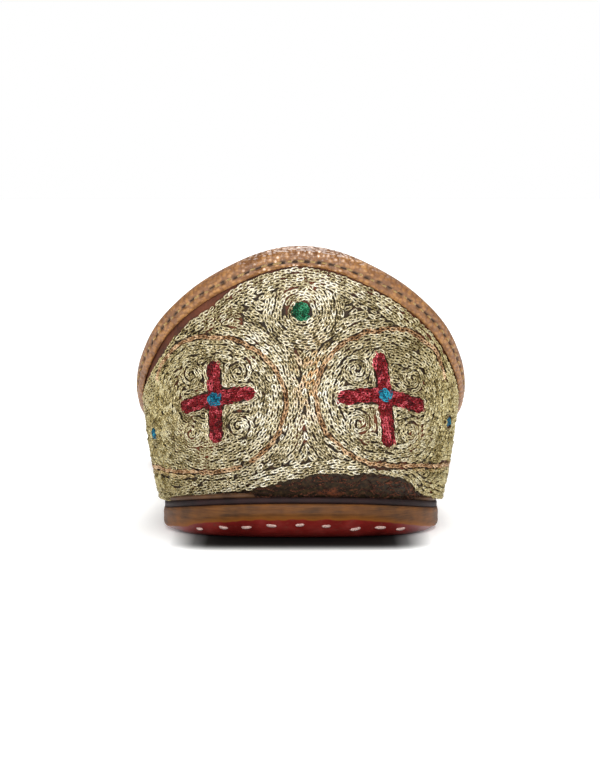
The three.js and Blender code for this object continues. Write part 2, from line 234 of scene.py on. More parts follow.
def cut_angle(station):
    """Angle of the upper's cut edge, a quarter turn where the upper closes over the foot."""
    station = np.abs(np.asarray(station, float))
    crown = last_point(station_at(THROAT_ALONG), math.pi / 2)[2]
    rows = TOPLINE + ((station_at(THROAT_ALONG), crown),)
    share = (read(rows, 1, station) - last_point(station, 0)[..., 2]) / read(LAST, ARCH, station)
    cut = np.arcsin(np.clip(share, 0, 1))
    return np.where(station >= station_at(THROAT_ALONG), math.pi / 2, cut)


def walk(station, angle, step):
    """Station and angle reached by a small straight step from a point of the last."""
    target = last_point(station, angle) + step
    at, turn = np.array(station, float), np.array(angle, float)
    for _ in range(6):
        here = last_point(at, turn)
        onward = (last_point(at + 0.2, turn) - here) / 0.2
        upward = (here - last_point(at, turn - 0.01)) / 0.01
        miss = target - here
        a, b, c = ((p * q).sum(-1) for p, q in ((onward, onward), (onward, upward), (upward, upward)))
        u, v = (onward * miss).sum(-1), (upward * miss).sum(-1)
        scale = a * c - b * b
        at = at + (u * c - v * b) / scale
        turn = np.minimum(turn + (v * a - u * b) / scale, math.pi / 2)
    return at, turn


class WallChart:
    """Flat chart of heel and sides: (station, length up from the foot), negative stations on the left."""

    SIGN = 1.0
    REACH = station_at(THROAT_ALONG - 1)

    def __init__(self):
        self.stations = np.linspace(0, self.REACH, 340)
        angles = np.linspace(0, 1, 200)[None, :] * cut_angle(self.stations)[:, None]
        points = last_point(self.stations[:, None], angles)
        lengths = lengths_along(points, 1)
        self.tops = lengths[:, -1]
        self.steps = np.linspace(0, 75, 301)
        rows = zip(lengths, angles)
        self.angles = np.stack([np.interp(self.steps, known, angle) for known, angle in rows])

    def top(self, u):
        return np.interp(np.abs(u), self.stations, self.tops)

    def slope(self, u):
        """Cosine of the topline's slope in the chart, to turn a distance across a row into a height."""
        rise = (self.top(np.abs(u) + 1) - self.top(np.maximum(np.abs(u) - 1, 0))) / 2
        return 1 / np.sqrt(1 + rise ** 2)

    def angle(self, u, v):
        row = np.abs(u) / self.REACH * (len(self.stations) - 1)
        return between(self.angles, row, v / self.steps[-1] * (len(self.steps) - 1))

    def point(self, u, v):
        u, v = np.asarray(u, float), np.asarray(v, float)
        found = last_point(np.abs(u), self.angle(u, v))
        found[..., 0] *= np.where(u < 0, -1, 1)
        found[..., 2] += np.minimum(v, 0) - WALL_DROP * recess(u) * np.exp(-(v / WALL_DROP_REACH) ** 2)
        return found


class CrownChart:
    """Flat chart of vamp and toe: (along, length out from the middle of the top), negative on the left."""

    SIGN = -1.0
    START = 108.0
    END = station_at(281) - station_at(0)

    def __init__(self):
        self.along = np.linspace(self.START, self.END, 360)
        share = 1 - np.linspace(0, 1, 400) ** 2.2
        angles = (math.pi / 2) * share[None, :] * np.ones((len(self.along), 1))
        stations = station_at(self.along)[:, None]
        points = last_point(stations, angles)
        lengths = lengths_along(points, 1)
        self.feet = lengths[:, -1]
        self.steps = np.linspace(0, 85, 341)
        self.angles = np.stack([np.interp(self.steps, known, angle) for known, angle in zip(lengths, angles)])
        cuts = cut_angle(station_at(self.along))
        self.cuts = np.array([
            np.interp(math.pi / 2 - cut, math.pi / 2 - angle, known)
            for cut, known, angle in zip(cuts, lengths, angles)
        ])

    def foot(self, u):
        return np.interp(u, self.along, self.feet)

    def cut(self, u):
        return np.interp(u, self.along, self.cuts)

    def point(self, u, v):
        u, v = np.asarray(u, float), np.asarray(v, float)
        row = (u - self.START) / (self.END - self.START) * (len(self.along) - 1)
        column = np.abs(v) / self.steps[-1] * (len(self.steps) - 1)
        found = last_point(station_at(u), between(self.angles, row, column))
        found[..., 0] *= np.where(v < 0, -1, 1)
        return found


WALL = WallChart()
CROWN = CrownChart()


def chart_normal(chart, u, v):
    du = chart.point(u + 0.3, v) - chart.point(u - 0.3, v)
    dv = chart.point(u, v + 0.3) - chart.point(u, v - 0.3)
    return unit(np.cross(du, dv)) * chart.SIGN


# Meshes.
def to_row(points):
    """Shoe millimetres to metres in the row frame."""
    return (np.asarray(points, float) + np.array([0, BACK_EDGE, 0])) * MM


def mesh_piece(name, points, faces, materials, attributes=None, face_materials=None):
    """A piece from arrays: points in shoe millimetres and faces as an array of corner numbers."""
    faces = np.asarray(faces, np.int32)
    corners = faces.shape[1]
    mesh = bpy.data.meshes.new(name)
    mesh.vertices.add(len(points))
    mesh.vertices.foreach_set("co", to_row(points).astype(np.float32).ravel())
    mesh.loops.add(faces.size)
    mesh.loops.foreach_set("vertex_index", faces.ravel())
    mesh.polygons.add(len(faces))
    mesh.polygons.foreach_set("loop_start", np.arange(0, faces.size, corners, dtype=np.int32))
    mesh.polygons.foreach_set("use_smooth", np.ones(len(faces), bool))
    for material in materials:
        mesh.materials.append(material)
    if face_materials is not None:
        mesh.polygons.foreach_set("material_index", np.asarray(face_materials, np.int32))
    mesh.update(calc_edges=True)
    for label, values in (attributes or {}).items():
        layer = mesh.attributes.new(label, "FLOAT", "POINT")
        layer.data.foreach_set("value", np.asarray(values, np.float32))
    mesh.validate()
    piece = bpy.data.objects.new(name, mesh)
    bpy.context.scene.collection.objects.link(piece)
    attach(piece, "root")
    return piece


def grid_faces(rows, columns, wrap_rows=False, wrap_columns=False, flip=False):
    """Quads between the points of a grid, row by row."""
    i = np.arange(rows if wrap_rows else rows - 1)
    j = np.arange(columns if wrap_columns else columns - 1)
    i, j = np.meshgrid(i, j, indexing="ij")
    a = i * columns + j
    b = (i + 1) % rows * columns + j
    c = (i + 1) % rows * columns + (j + 1) % columns
    d = i * columns + (j + 1) % columns
    quads = np.stack([a, b, c, d], -1).reshape(-1, 4)
    return quads[:, ::-1] if flip else quads


def halved(quads):
    """Two triangles for each quad."""
    return np.concatenate([quads[:, [0, 1, 2]], quads[:, [0, 2, 3]]])


def mirrored(points, faces):
    """Points and faces with their mirror image over x = 0."""
    other = points * np.array([-1, 1, 1])
    return np.concatenate([points, other]), np.concatenate([faces, faces[:, ::-1] + len(points)])


def weld(piece, gap=0.004):
    """Joins points that lie together, and drops faces that this closes."""
    edit = bmesh.new()
    edit.from_mesh(piece.data)
    bmesh.ops.remove_doubles(edit, verts=edit.verts, dist=gap * MM)
    bmesh.ops.recalc_face_normals(edit, faces=edit.faces)
    edit.to_mesh(piece.data)
    edit.free()


# Materials.
def paint(red, green, blue):
    """Colour from 0 to 255 as a picture shows it, for a shader."""
    shown = np.array([red, green, blue]) / 255
    linear = np.where(shown <= 0.04045, shown / 12.92, ((shown + 0.055) / 1.055) ** 2.4)
    return (*linear, 1.0)


class Finish:
    """A material with its nodes made by short calls."""

    def __init__(self, name, **sockets):
        self.material = bpy.data.materials.new(name)
        self.material.use_nodes = True
        self.tree = self.material.node_tree
        self.shader = self.tree.nodes["Principled BSDF"]
        for label, value in sockets.items():
            self.shader.inputs[label.replace("_", " ")].default_value = value
        self.place = self.tree.nodes.new("ShaderNodeTexCoord").outputs["Object"]

    def node(self, kind, inputs=None, **settings):
        made = self.tree.nodes.new(kind)
        for label, value in settings.items():
            setattr(made, label, value)
        for label, value in (inputs or {}).items():
            self.put(value, made.inputs[label])
        return made

    def put(self, value, socket):
        if isinstance(value, bpy.types.NodeSocket):
            self.tree.links.new(value, socket)
        else:
            socket.default_value = value

    def noise(self, size, detail=3.0, rough=0.55, vector=None):
        """Noise with features of about that size in millimetres."""
        made = self.node(
            "ShaderNodeTexNoise",
            {"Vector": vector or self.place, "Scale": 1 / (size * MM), "Detail": detail, "Roughness": rough},
        )
        return made.outputs["Fac"]

    def cells(self, size, smoothness, randomness=1.0):
        """Distance to the middle of soft cells of about that size in millimetres."""
        inputs = {"Vector": self.place, "Scale": 1 / (size * MM)}
        inputs.update({"Smoothness": smoothness, "Randomness": randomness})
        made = self.node("ShaderNodeTexVoronoi", inputs, feature="SMOOTH_F1")
        return made.outputs["Distance"]

    def attribute(self, label):
        return self.node("ShaderNodeAttribute", attribute_name=label).outputs["Fac"]

    def wraps(self):
        """Wave across a thread, one for each turn of its wrapping."""
        return self.math("SINE", self.math("MULTIPLY", self.attribute("wrap"), 2 * math.pi))

    def math(self, operation, a, b=0.0):
        made = self.node("ShaderNodeMath", operation=operation)
        self.put(a, made.inputs[0])
        self.put(b, made.inputs[1])
        return made.outputs[0]

    def total(self, *parts):
        """Sum of values, each given with its weight."""
        weighted = [self.math("MULTIPLY", value, weight) for value, weight in parts]
        level = weighted[0]
        for part in weighted[1:]:
            level = self.math("ADD", level, part)
        return level

    def remap(self, value, low, high, to_low=0.0, to_high=1.0):
        made = self.node(
            "ShaderNodeMapRange",
            {"Value": value, "From Min": low, "From Max": high, "To Min": to_low, "To Max": to_high},
        )
        return made.outputs["Result"]

    def mix(self, share, a, b, blend="MIX"):
        made = self.node("ShaderNodeMix", data_type="RGBA", blend_type=blend)
        self.put(share, made.inputs["Factor"])
        self.put(a, made.inputs["A"])
        self.put(b, made.inputs["B"])
        return made.outputs["Result"]

    def ramp(self, value, *stops):
        """Colours over a value, each stop given as its position and a colour for paint."""
        made = self.node("ShaderNodeValToRGB", {"Fac": value})
        bands = made.color_ramp.elements
        while len(bands) < len(stops):
            bands.new(0.5)
        for band, (position, colour) in zip(bands, stops):
            band.position = position
            band.color = paint(*colour)
        return made.outputs["Color"]

    def relief(self, *layers):
        """Bumps over each other, each given as its height, depth in millimetres and strength."""
        normal = None
        for height, depth, strength in layers:
            inputs = {"Height": height, "Distance": depth * MM, "Strength": strength}
            made = self.node("ShaderNodeBump", inputs)
            if normal is not None:
                self.put(normal, made.inputs["Normal"])
            normal = made.outputs["Normal"]
        return normal

    def set(self, **sockets):
        for label, value in sockets.items():
            self.put(value, self.shader.inputs[label.replace("_", " ")])
        return self.material


def thread_finish(name, colours, metallic, roughness, stops=(0.46, 0.64, 0.86), warm=None, side=None):
    """Wrapped thread: fine glints along each strand, from its relief and also painted into its colour with
    painted shade between them, and a tone of its own for each link.
    """
    made = Finish(name, Metallic=metallic, Specular_IOR_Level=0.25)
    wraps = made.wraps()
    grain_and_painted_glint = made.noise(0.3, 3.0, 0.7)
    level = made.total((made.attribute("tone"), 0.26), (grain_and_painted_glint, 1.05), (wraps, 0.05))
    level = made.math("ADD", level, made.remap(made.noise(6.0, 2.0), 0.3, 0.7, -0.07, 0.07))
    # painted highlight and shade: the colours run from a dark painted shade through the thread's own colour
    # to a pale painted highlight, picked mostly by the fine grain
    colour = made.ramp(level, *zip(stops, colours))
    if warm is not None:
        # painted shade: the side attribute darkens the gold towards the low sides of the heel, and partly
        # over the vamp
        colour = made.mix(made.attribute("side"), colour, side, "MULTIPLY")
        colour = made.mix(made.attribute("warm"), colour, warm, "MULTIPLY")
    relief = made.relief((wraps, 0.03, 0.8), (grain_and_painted_glint, 0.16, 1.0))
    rough = made.remap(grain_and_painted_glint, 0.35, 0.65, roughness + 0.12, roughness)
    return made.set(Base_Color=colour, Normal=relief, Roughness=rough)


# Thread colours: a painted shade, the thread's own colour and a painted highlight.
DYED_STOPS = (0.46, 0.68, 0.96)
GOLD = thread_finish(
    "gold_thread", ((104, 90, 56), (216, 202, 162), (255, 252, 240)), 0.85, 0.22,
    # side: the painted shade towards the low sides
    warm=paint(255, 214, 176), side=paint(214, 207, 174),
)
COPPER = thread_finish("copper_thread", ((84, 54, 32), (180, 138, 96), (244, 216, 178)), 0.8, 0.26)
RED = thread_finish("red_thread", ((44, 0, 4), (136, 2, 14), (255, 128, 140)), 0.0, 0.3, (0.45, 0.72, 0.96))
BLUE = thread_finish("blue_thread", ((0, 24, 40), (0, 98, 128), (60, 190, 214)), 0.05, 0.36, DYED_STOPS)
GREEN = thread_finish("green_thread", ((0, 26, 14), (0, 98, 60), (110, 206, 160)), 0.05, 0.36, DYED_STOPS)
# The hem thread is coloured darker: painted shade of the strip tucked in under the hem.
HEM = thread_finish("hem_thread", ((20, 9, 5), (48, 24, 15), (120, 68, 44)), 0.0, 0.6)


def base_leather():
    """Painted shade, dark olive brown, between the stitches; the leather's own reddish brown near the cut
    edge and in patches.
    """
    made = Finish("base_leather", Specular_IOR_Level=0.25)
    cloud = made.noise(9.0, 4.0)
    fine = made.noise(0.6, 4.0)
    brown = made.ramp(
        made.total((cloud, 0.7), (fine, 0.3)),
        (0.35, (46, 23, 13)), (0.55, (94, 50, 31)), (0.75, (124, 70, 44)),
    )
    # painted shade: the leather under the stitches is coloured dark, where shade falls between the threads
    dark = made.ramp(fine, (0.35, (26, 18, 9)), (0.55, (50, 36, 20)), (0.7, (72, 52, 30)))
    bare = made.math("MAXIMUM", made.remap(made.attribute("edge"), 6.5, 5.5), made.remap(cloud, 0.56, 0.62))
    return made.set(
        Base_Color=made.mix(bare, dark, brown),
        Normal=made.relief((made.cells(0.8, 0.3), 0.08, 0.6), (fine, 0.08, 0.7)),
        Roughness=made.remap(fine, 0.3, 0.7, 0.5, 0.75),
    )


def lining_leather():
    made = Finish("lining_leather", Sheen_Weight=0.15)
    cloud = made.noise(14.0, 4.0)
    fine = made.noise(0.5, 5.0, 0.65)
    colour = made.ramp(
        made.total((cloud, 0.75), (fine, 0.25)),
        (0.3, (128, 88, 52)), (0.5, (168, 124, 80)), (0.72, (194, 152, 106)),
    )
    relief = made.relief((made.cells(0.9, 0.5), 0.06, 0.5), (fine, 0.06, 0.6))
    return made.set(Base_Color=colour, Normal=relief, Roughness=made.remap(cloud, 0.3, 0.7, 0.55, 0.75))


def binding_leather():
    """Pebbled tan leather, polished by the hand that pulls at the back of the collar, with painted glints
    there: pale pinkish tops on the pebbles. Painted shade darkens the crevices between the pebbles and the
    needle holes.
    """
    made = Finish("binding_leather", Specular_IOR_Level=0.6)
    cloud = made.noise(6.0, 4.0)
    fine = made.noise(0.35, 4.0, 0.6)
    pebble = made.cells(1.1, 0.15, 0.8)
    polish_and_painted_glint = made.attribute("polish_and_painted_glint")
    colour = made.ramp(
        made.total((cloud, 0.6), (fine, 0.4)),
        (0.34, (104, 66, 32)), (0.5, (148, 100, 51)), (0.66, (176, 126, 70)),
    )
    # painted shade: darker in the crevices between the pebbles
    colour = made.mix(made.remap(pebble, 0.35, 0.6, 0.0, 0.6), colour, paint(98, 58, 30))
    # painted glints: pale pinkish pebble tops near the back of the collar
    painted_glint = made.math("MULTIPLY", made.remap(made.noise(2.2, 2.0), 0.42, 0.6), made.remap(pebble, 0.36, 0.12))
    colour = made.mix(made.math("MULTIPLY", painted_glint, polish_and_painted_glint), colour, paint(238, 208, 186))
    # painted shade: the needle holes are coloured near black
    colour = made.mix(made.attribute("hole_and_painted_shade"), colour, paint(20, 9, 4))
    dome = made.math("MULTIPLY", pebble, made.math("MULTIPLY", pebble, -1.0))
    rough = made.math("MAXIMUM", made.remap(polish_and_painted_glint, 0.0, 1.0, 0.48, 0.18), made.attribute("hole_and_painted_shade"))
    return made.set(
        Base_Color=colour, Normal=made.relief((dome, 0.3, 1.0), (fine, 0.015, 0.6)), Roughness=rough,
    )


def outsole_leather():
    """Brown at the cut edge, with the layers of the hide, and painted red underneath."""
    made = Finish("outsole_leather", Coat_Roughness=0.16, Specular_IOR_Level=0.3)
    stretched = made.node("ShaderNodeMapping", {"Vector": made.place, "Scale": (0.25, 0.25, 3.0)})
    streak = made.noise(1.6, 5.0, 0.65, stretched.outputs[0])
    cloud = made.noise(8.0, 4.0)
    fine = made.noise(0.4, 4.0, 0.65)
    edge = made.ramp(
        made.total((streak, 0.75), (cloud, 0.25)),
        (0.34, (40, 24, 10)), (0.5, (78, 48, 20)), (0.68, (114, 72, 30)),
    )
    red = made.ramp(cloud, (0.3, (90, 20, 18)), (0.55, (126, 34, 30)), (0.75, (150, 62, 56)))
    scuff = made.remap(made.noise(1.2, 5.0, 0.7), 0.56, 0.7)
    red = made.mix(made.math("MULTIPLY", scuff, made.attribute("rim")), red, paint(120, 62, 52))
    ragged = made.remap(made.noise(5.0, 2.0), 0.3, 0.7, -0.12, 0.12)
    reach = made.math("ADD", made.attribute("painted"), ragged)
    edge = made.mix(made.remap(reach, -0.1, 0.35, 0.0, 0.8), edge, paint(140, 82, 26))
    painted = made.remap(reach, 0.4, 0.5)
    return made.set(
        Base_Color=made.mix(painted, edge, red), Normal=made.relief((streak, 0.12, 0.5), (fine, 0.05, 0.6)),
        Roughness=made.remap(painted, 0.0, 1.0, 0.6, 0.3), Coat_Weight=made.math("MULTIPLY", painted, 0.6),
    )


def layer_leather(name, dark, light, roughness):
    made = Finish(name, Specular_IOR_Level=0.25)
    cloud = made.noise(5.0, 4.0)
    fine = made.noise(0.45, 5.0, 0.65)
    return made.set(
        Base_Color=made.ramp(made.total((cloud, 0.6), (fine, 0.4)), (0.36, dark), (0.64, light)),
        Normal=made.relief((fine, 0.1, 0.7)),
        Roughness=made.remap(fine, 0.3, 0.7, roughness - 0.1, roughness),
    )


def sewing_thread(name, dark, light):
    made = Finish(name, Roughness=0.6, Sheen_Weight=0.2)
    fine = made.noise(0.25, 3.0)
    relief = made.relief((made.wraps(), 0.05, 0.8), (fine, 0.05, 0.8))
    return made.set(Base_Color=made.ramp(fine, (0.35, dark), (0.65, light)), Normal=relief)


BASE_LEATHER = base_leather()
LINING_LEATHER = lining_leather()
BINDING_LEATHER = binding_leather()
OUTSOLE_LEATHER = outsole_leather()
MIDSOLE_LEATHER = layer_leather("midsole_leather", (18, 9, 10), (44, 22, 22), 0.7)
INSOLE_LEATHER = layer_leather("insole_leather", (56, 36, 22), (98, 66, 40), 0.6)
COLLAR_THREAD = sewing_thread("collar_thread", (124, 92, 44), (190, 156, 90))
SOLE_THREAD = sewing_thread("sole_thread", (170, 130, 120), (226, 196, 186))


# The upper's leather wall with its lining.
def upper_leather():
    stations = np.concatenate([
        np.linspace(0, HEEL_ARC, 50),
        np.linspace(HEEL_ARC, station_at(THROAT_ALONG), 90)[1:],
        np.linspace(station_at(THROAT_ALONG), LAST_TIP - 0.05, 80)[1:],
    ])
    rows = 34
    share = 1 - (1 - np.linspace(0, 1, rows) ** 1.5) ** 1.4
    angles = share[None, :] * cut_angle(stations)[:, None]
    outer = last_point(stations[:, None] * np.ones((1, rows)), angles)
    inner = outer - UPPER_WALL * last_normal(stations[:, None] * np.ones((1, rows)), angles)
    inner[:, 0, 2] = outer[:, 0, 2]
    inner[..., 0] = np.maximum(inner[..., 0], 0)
    closed = stations >= station_at(THROAT_ALONG)
    for wall in (outer, inner):
        wall[closed, -1, 0] = 0
        wall[0, :, 0] = 0
    inner[-1] = outer[-1] - np.array([0, UPPER_WALL, 0])
    columns = np.concatenate([outer, inner[:, ::-1]], 1)
    below = np.linalg.norm(columns - outer[:, -1:], axis=2).ravel()
    width = columns.shape[1]
    quads = grid_faces(len(stations), width, wrap_columns=True)
    column = quads[:, 0] % width
    lining = (column >= rows) & (column < 2 * rows - 1)
    sides = []
    for side in (1, -1):
        wall = columns * np.array([side, 1, 1])
        height = columns[..., 2] - columns[:, :1, 2]
        drop = WALL_DROP * recess(side * stations)[:, None]
        wall[..., 2] -= drop * np.exp(-(height / WALL_DROP_REACH) ** 2)
        sides.append(wall.reshape(-1, 3))
    faces = np.concatenate([quads, quads[:, ::-1] + len(sides[0])])
    piece = mesh_piece(
        "upper_leather", np.concatenate(sides), faces, [BASE_LEATHER, LINING_LEATHER],
        face_materials=np.concatenate([lining, lining]).astype(int),
        attributes={"edge": np.concatenate([below, below])},
    )
    weld(piece, 0.02)
    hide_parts("upper")


upper_leather()


# The collar binding: a strip folded over the cut edge, puffed a little, pressed in at each needle hole.
BINDING_DEPTH = 2.9
BINDING_THICKNESS = 1.0
BINDING_GAP = 0.15
COLLAR_STITCH = 2.9
COLLAR_THREAD_OUT, COLLAR_THREAD_LENGTH, COLLAR_THREAD_WIDTH, COLLAR_THREAD_HEIGHT = 1.33, 1.35, 0.23, 0.34
STITCH_LEVEL, STITCH_LEVEL_BACK = -1.35, -1.95
STITCH_BACK_REACH = 14.0
POLISH_AND_PAINTED_GLINT_REACH = 14.0
POINTS_A_HOLE = 6
SECTION_POINTS = 44
FRONT_FROM = 0.9
HOLE_HALF, HOLE_BAND, HOLE_DEPTH, GROOVE_DEPTH = 0.9, 0.32, 0.62, 0.16


def collar_path(count):
    """Stations of the collar from the back to the throat, evenly spaced along the edge."""
    turn, throat = station_at(120), station_at(THROAT_ALONG)
    onward = throat - (throat - turn) * np.linspace(1, 0, 900)[1:] ** 2
    dense = np.concatenate([np.linspace(0, turn, 900), onward])
    length = lengths_along(last_point(dense, cut_angle(dense)))
    return np.interp(np.linspace(0, length[-1], count), length, dense), length[-1]


def collar_frames(stations):
    """Edge point and the directions out, along and up at each station."""
    edge = last_point(stations, cut_angle(stations))
    edge[0, 0] = 0
    edge[-1, 0] = 0
    run = np.empty_like(edge)
    run[1:-1] = edge[2:] - edge[:-2]
    run[0] = (1, 0, 0)
    run[-1] = (-1, 0, 0)
    run = unit(run)
    out = last_normal(stations, cut_angle(stations))
    out = unit(out - (out * run).sum(-1, keepdims=True) * run)
    return edge, run, out, np.cross(out, run)


def round_section(corners, count):
    """A closed smooth curve through a few corners."""
    corners = np.asarray(corners, float)
    total = len(corners)
    t = np.linspace(0, total, count, endpoint=False)
    i = t.astype(int)
    f = (t - i)[:, None]
    p0, p1, p2, p3 = (corners[(i + k) % total] for k in (-1, 0, 1, 2))
    square, cube = 2 * p0 - 5 * p1 + 4 * p2 - p3, 3 * p1 - p0 - 3 * p2 + p3
    return 0.5 * (2 * p1 + (p2 - p0) * f + square * f ** 2 + cube * f ** 3)


def beside_edge(stations, frames, out, up):
    """Point that lies out from the wall and up from its cut edge, following the last below the edge."""
    edge, _, outward, upward = frames
    over = edge + outward * out[:, None] + upward * up[:, None]
    at, turn = walk(stations, cut_angle(stations), upward * np.minimum(up, 0)[:, None])
    below = last_point(at, turn) + last_normal(at, turn) * out[:, None]
    return np.where((up >= 0)[:, None], over, below)


def stitch_level(arc):
    """Height of the stitches over the cut edge: lower at the back."""
    return STITCH_LEVEL + (STITCH_LEVEL_BACK - STITCH_LEVEL) * np.exp(-(arc / STITCH_BACK_REACH) ** 2)


def collar_binding():
    holes = int(round(collar_path(2)[1] / COLLAR_STITCH))
    count = POINTS_A_HOLE * holes + 1
    stations, length = collar_path(count)
    frames = collar_frames(stations)
    outside, inside = BINDING_GAP, -UPPER_WALL - BINDING_GAP
    middle, full = (outside + inside) / 2, (outside - inside) / 2 + BINDING_THICKNESS
    section = round_section([
        (outside + 0.1, -BINDING_DEPTH + 0.25),
        (outside + 0.45, -BINDING_DEPTH - 0.05),
        (outside + 1.15, -BINDING_DEPTH + 0.25),
        (outside + 1.45, -0.62 * BINDING_DEPTH),
        (outside + 1.5, -0.2 * BINDING_DEPTH),
        (outside + 1.2, 0.5),
        (middle + 0.62 * full, 1.3),
        (middle, 1.7),
        (middle - 0.62 * full, 1.3),
        (inside - 0.95, 0.5),
        (inside - 1.1, -0.3 * BINDING_DEPTH),
        (inside - 1.0, -0.85 * BINDING_DEPTH),
        (inside - 0.45, -BINDING_DEPTH),
        (inside - 0.05, -0.9 * BINDING_DEPTH),
        (inside, -0.2 * BINDING_DEPTH),
        (middle, 0.5),
        (outside, -0.2 * BINDING_DEPTH),
    ], SECTION_POINTS)
    arc = np.linspace(0, length, count)
    stitch = stitch_level(arc)
    pitch = length / holes
    phase = (arc / pitch) % 1 - 0.5
    points, painted_hole_shade = [], []
    for out, up in section:
        on_front = out > FRONT_FROM
        across = np.exp(-((up - stitch) / HOLE_BAND) ** 2)
        dip = np.exp(-np.abs((phase * pitch) / HOLE_HALF) ** 3) * across * on_front
        groove = GROOVE_DEPTH * across * on_front
        lift = 0.1 * np.sin(arc * 0.23 + 1.1) * np.sin(arc * 0.071) * on_front
        depth = out - HOLE_DEPTH * dip - groove + lift
        level = np.full(count, up + 0.08 * math.sin(up * 9))
        points.append(beside_edge(stations, frames, depth, level))
        # painted shade inside the needle holes, which are only pressed in; the same mask makes them rougher
        painted_hole_shade.append(np.clip(dip * 2.4 - 0.6, 0, 1))
    points = np.stack(points, 1)
    points[0, :, 0] = 0
    points[-1, :, 0] = 0
    painted_hole_shade = np.stack(painted_hole_shade, 1)
    both, faces = mirrored(points.reshape(-1, 3), grid_faces(count, len(section), wrap_columns=True))
    hole_and_painted_shade = np.tile(painted_hole_shade.ravel(), 2)
    # polished at the back of the collar, where the pebbles also get painted glints
    polish_and_painted_glint = np.tile(np.repeat(np.exp(-(arc / POLISH_AND_PAINTED_GLINT_REACH) ** 4), len(section)), 2)
    piece = mesh_piece(
        "binding_strip", both, faces, [BINDING_LEATHER],
        attributes={"hole_and_painted_shade": hole_and_painted_shade, "polish_and_painted_glint": polish_and_painted_glint},
    )
    weld(piece)
    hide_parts("collar_binding")
    return length, holes


collar_length, collar_holes = collar_binding()


STITCH_SECTIONS, STITCH_SUNK = 9, 0.62


def threads(name, centres, runs, normals, lengths, width, height, material, sides=6):
    """Short stitches: each is a bowed thread that dips into the leather at both ends."""
    t = np.linspace(-0.5, 0.5, STITCH_SECTIONS)
    swell = np.sqrt(np.maximum(1 - (2 * t) ** 4, 0.02))
    bow = 1 - (2 * t) ** 2
    across = np.cross(normals, runs)
    rings = []
    for k in range(STITCH_SECTIONS):
        middle = centres + runs * (t[k] * lengths)[:, None] + normals * (height * (bow[k] - STITCH_SUNK))
        for angle in 2 * np.pi * np.arange(sides) / sides:
            side = across * (math.cos(angle) * width * swell[k])
            rise = normals * (math.sin(angle) * width * 0.7 * swell[k])
            rings.append(middle + side + rise)
    first = np.arange(sides)[::-1]
    last = np.arange(sides) + (STITCH_SECTIONS - 1) * sides
    caps = [[cap[0], cap[i], cap[i + 1]] for cap in (first, last) for i in range(1, sides - 1)]
    tris = np.concatenate([halved(grid_faces(STITCH_SECTIONS, sides, wrap_columns=True)), caps])
    starts = np.arange(len(centres)) * STITCH_SECTIONS * sides
    faces = (tris[None] + starts[:, None, None]).reshape(-1, 3)
    wrap = np.tile(np.repeat(t * 7, sides), len(centres))
    points = np.stack(rings, 1).reshape(-1, 3)
    weld(mesh_piece(name, points, faces, [material], attributes={"wrap": wrap}), 0.0001)


def both_sides(*arrays):
    """Points or directions with their mirror image over x = 0."""
    return [np.concatenate([values, values * np.array([-1, 1, 1])]) for values in arrays]


def collar_stitches():
    places = np.concatenate([[0.0], (np.arange(collar_holes) + 1.0) * collar_length / collar_holes])
    dense, _ = collar_path(4001)
    stations = np.interp(places, np.linspace(0, collar_length, 4001), dense)
    frames = collar_frames(stations)
    _, run, out, _ = frames
    away = np.full(len(stations), BINDING_GAP + COLLAR_THREAD_OUT)
    centres = beside_edge(stations, frames, away, stitch_level(places))
    jitter = RANDOM.normal(0, 1, (2 * len(centres), 4))
    centres, run, out = both_sides(centres, run, out)
    up = np.cross(out, run)
    centres = centres + up * (0.07 * jitter[:, :1]) + run * (0.1 * jitter[:, 1:2])
    run = unit(run + up * (0.06 * jitter[:, 2:3]))
    lengths = COLLAR_THREAD_LENGTH + 0.2 * jitter[:, 3]
    threads(
        "collar_stitches", centres, run, out, lengths, COLLAR_THREAD_WIDTH, COLLAR_THREAD_HEIGHT,
        COLLAR_THREAD,
    )


collar_stitches()


# The layers of the sole.
PAINT_START = 1.1
RIM_WIDTH = 7.0
CORNER = 0.28


def sole_edge(side, grow, set_in, count=70):
    """Outline of a layer on one side, from the back to the tip, as (out, along)."""
    turn = np.linspace(0, math.pi / 2, count)
    radius = heel_radius(turn, SEAT_RADIUS + grow) - set_in * recess(side * SEAT_RADIUS * turn)
    back = np.stack([radius * np.sin(turn), SEAT_RADIUS - radius * np.cos(turn)], 1)
    sides = np.linspace(SEAT_RADIUS, STRAIGHT_END, 2 * count)[1:]
    tip = STRAIGHT_END + (SOLE_LENGTH - STRAIGHT_END) * np.sin(turn)[1:]
    stretch = (SOLE_LENGTH + grow - STRAIGHT_END) / (SOLE_LENGTH - STRAIGHT_END)
    along = np.concatenate([sides, STRAIGHT_END + (tip - STRAIGHT_END) * stretch])
    front = np.stack([half_width(along, grow), along], 1)
    front[-1, 0] = 0
    return np.concatenate([back, front])


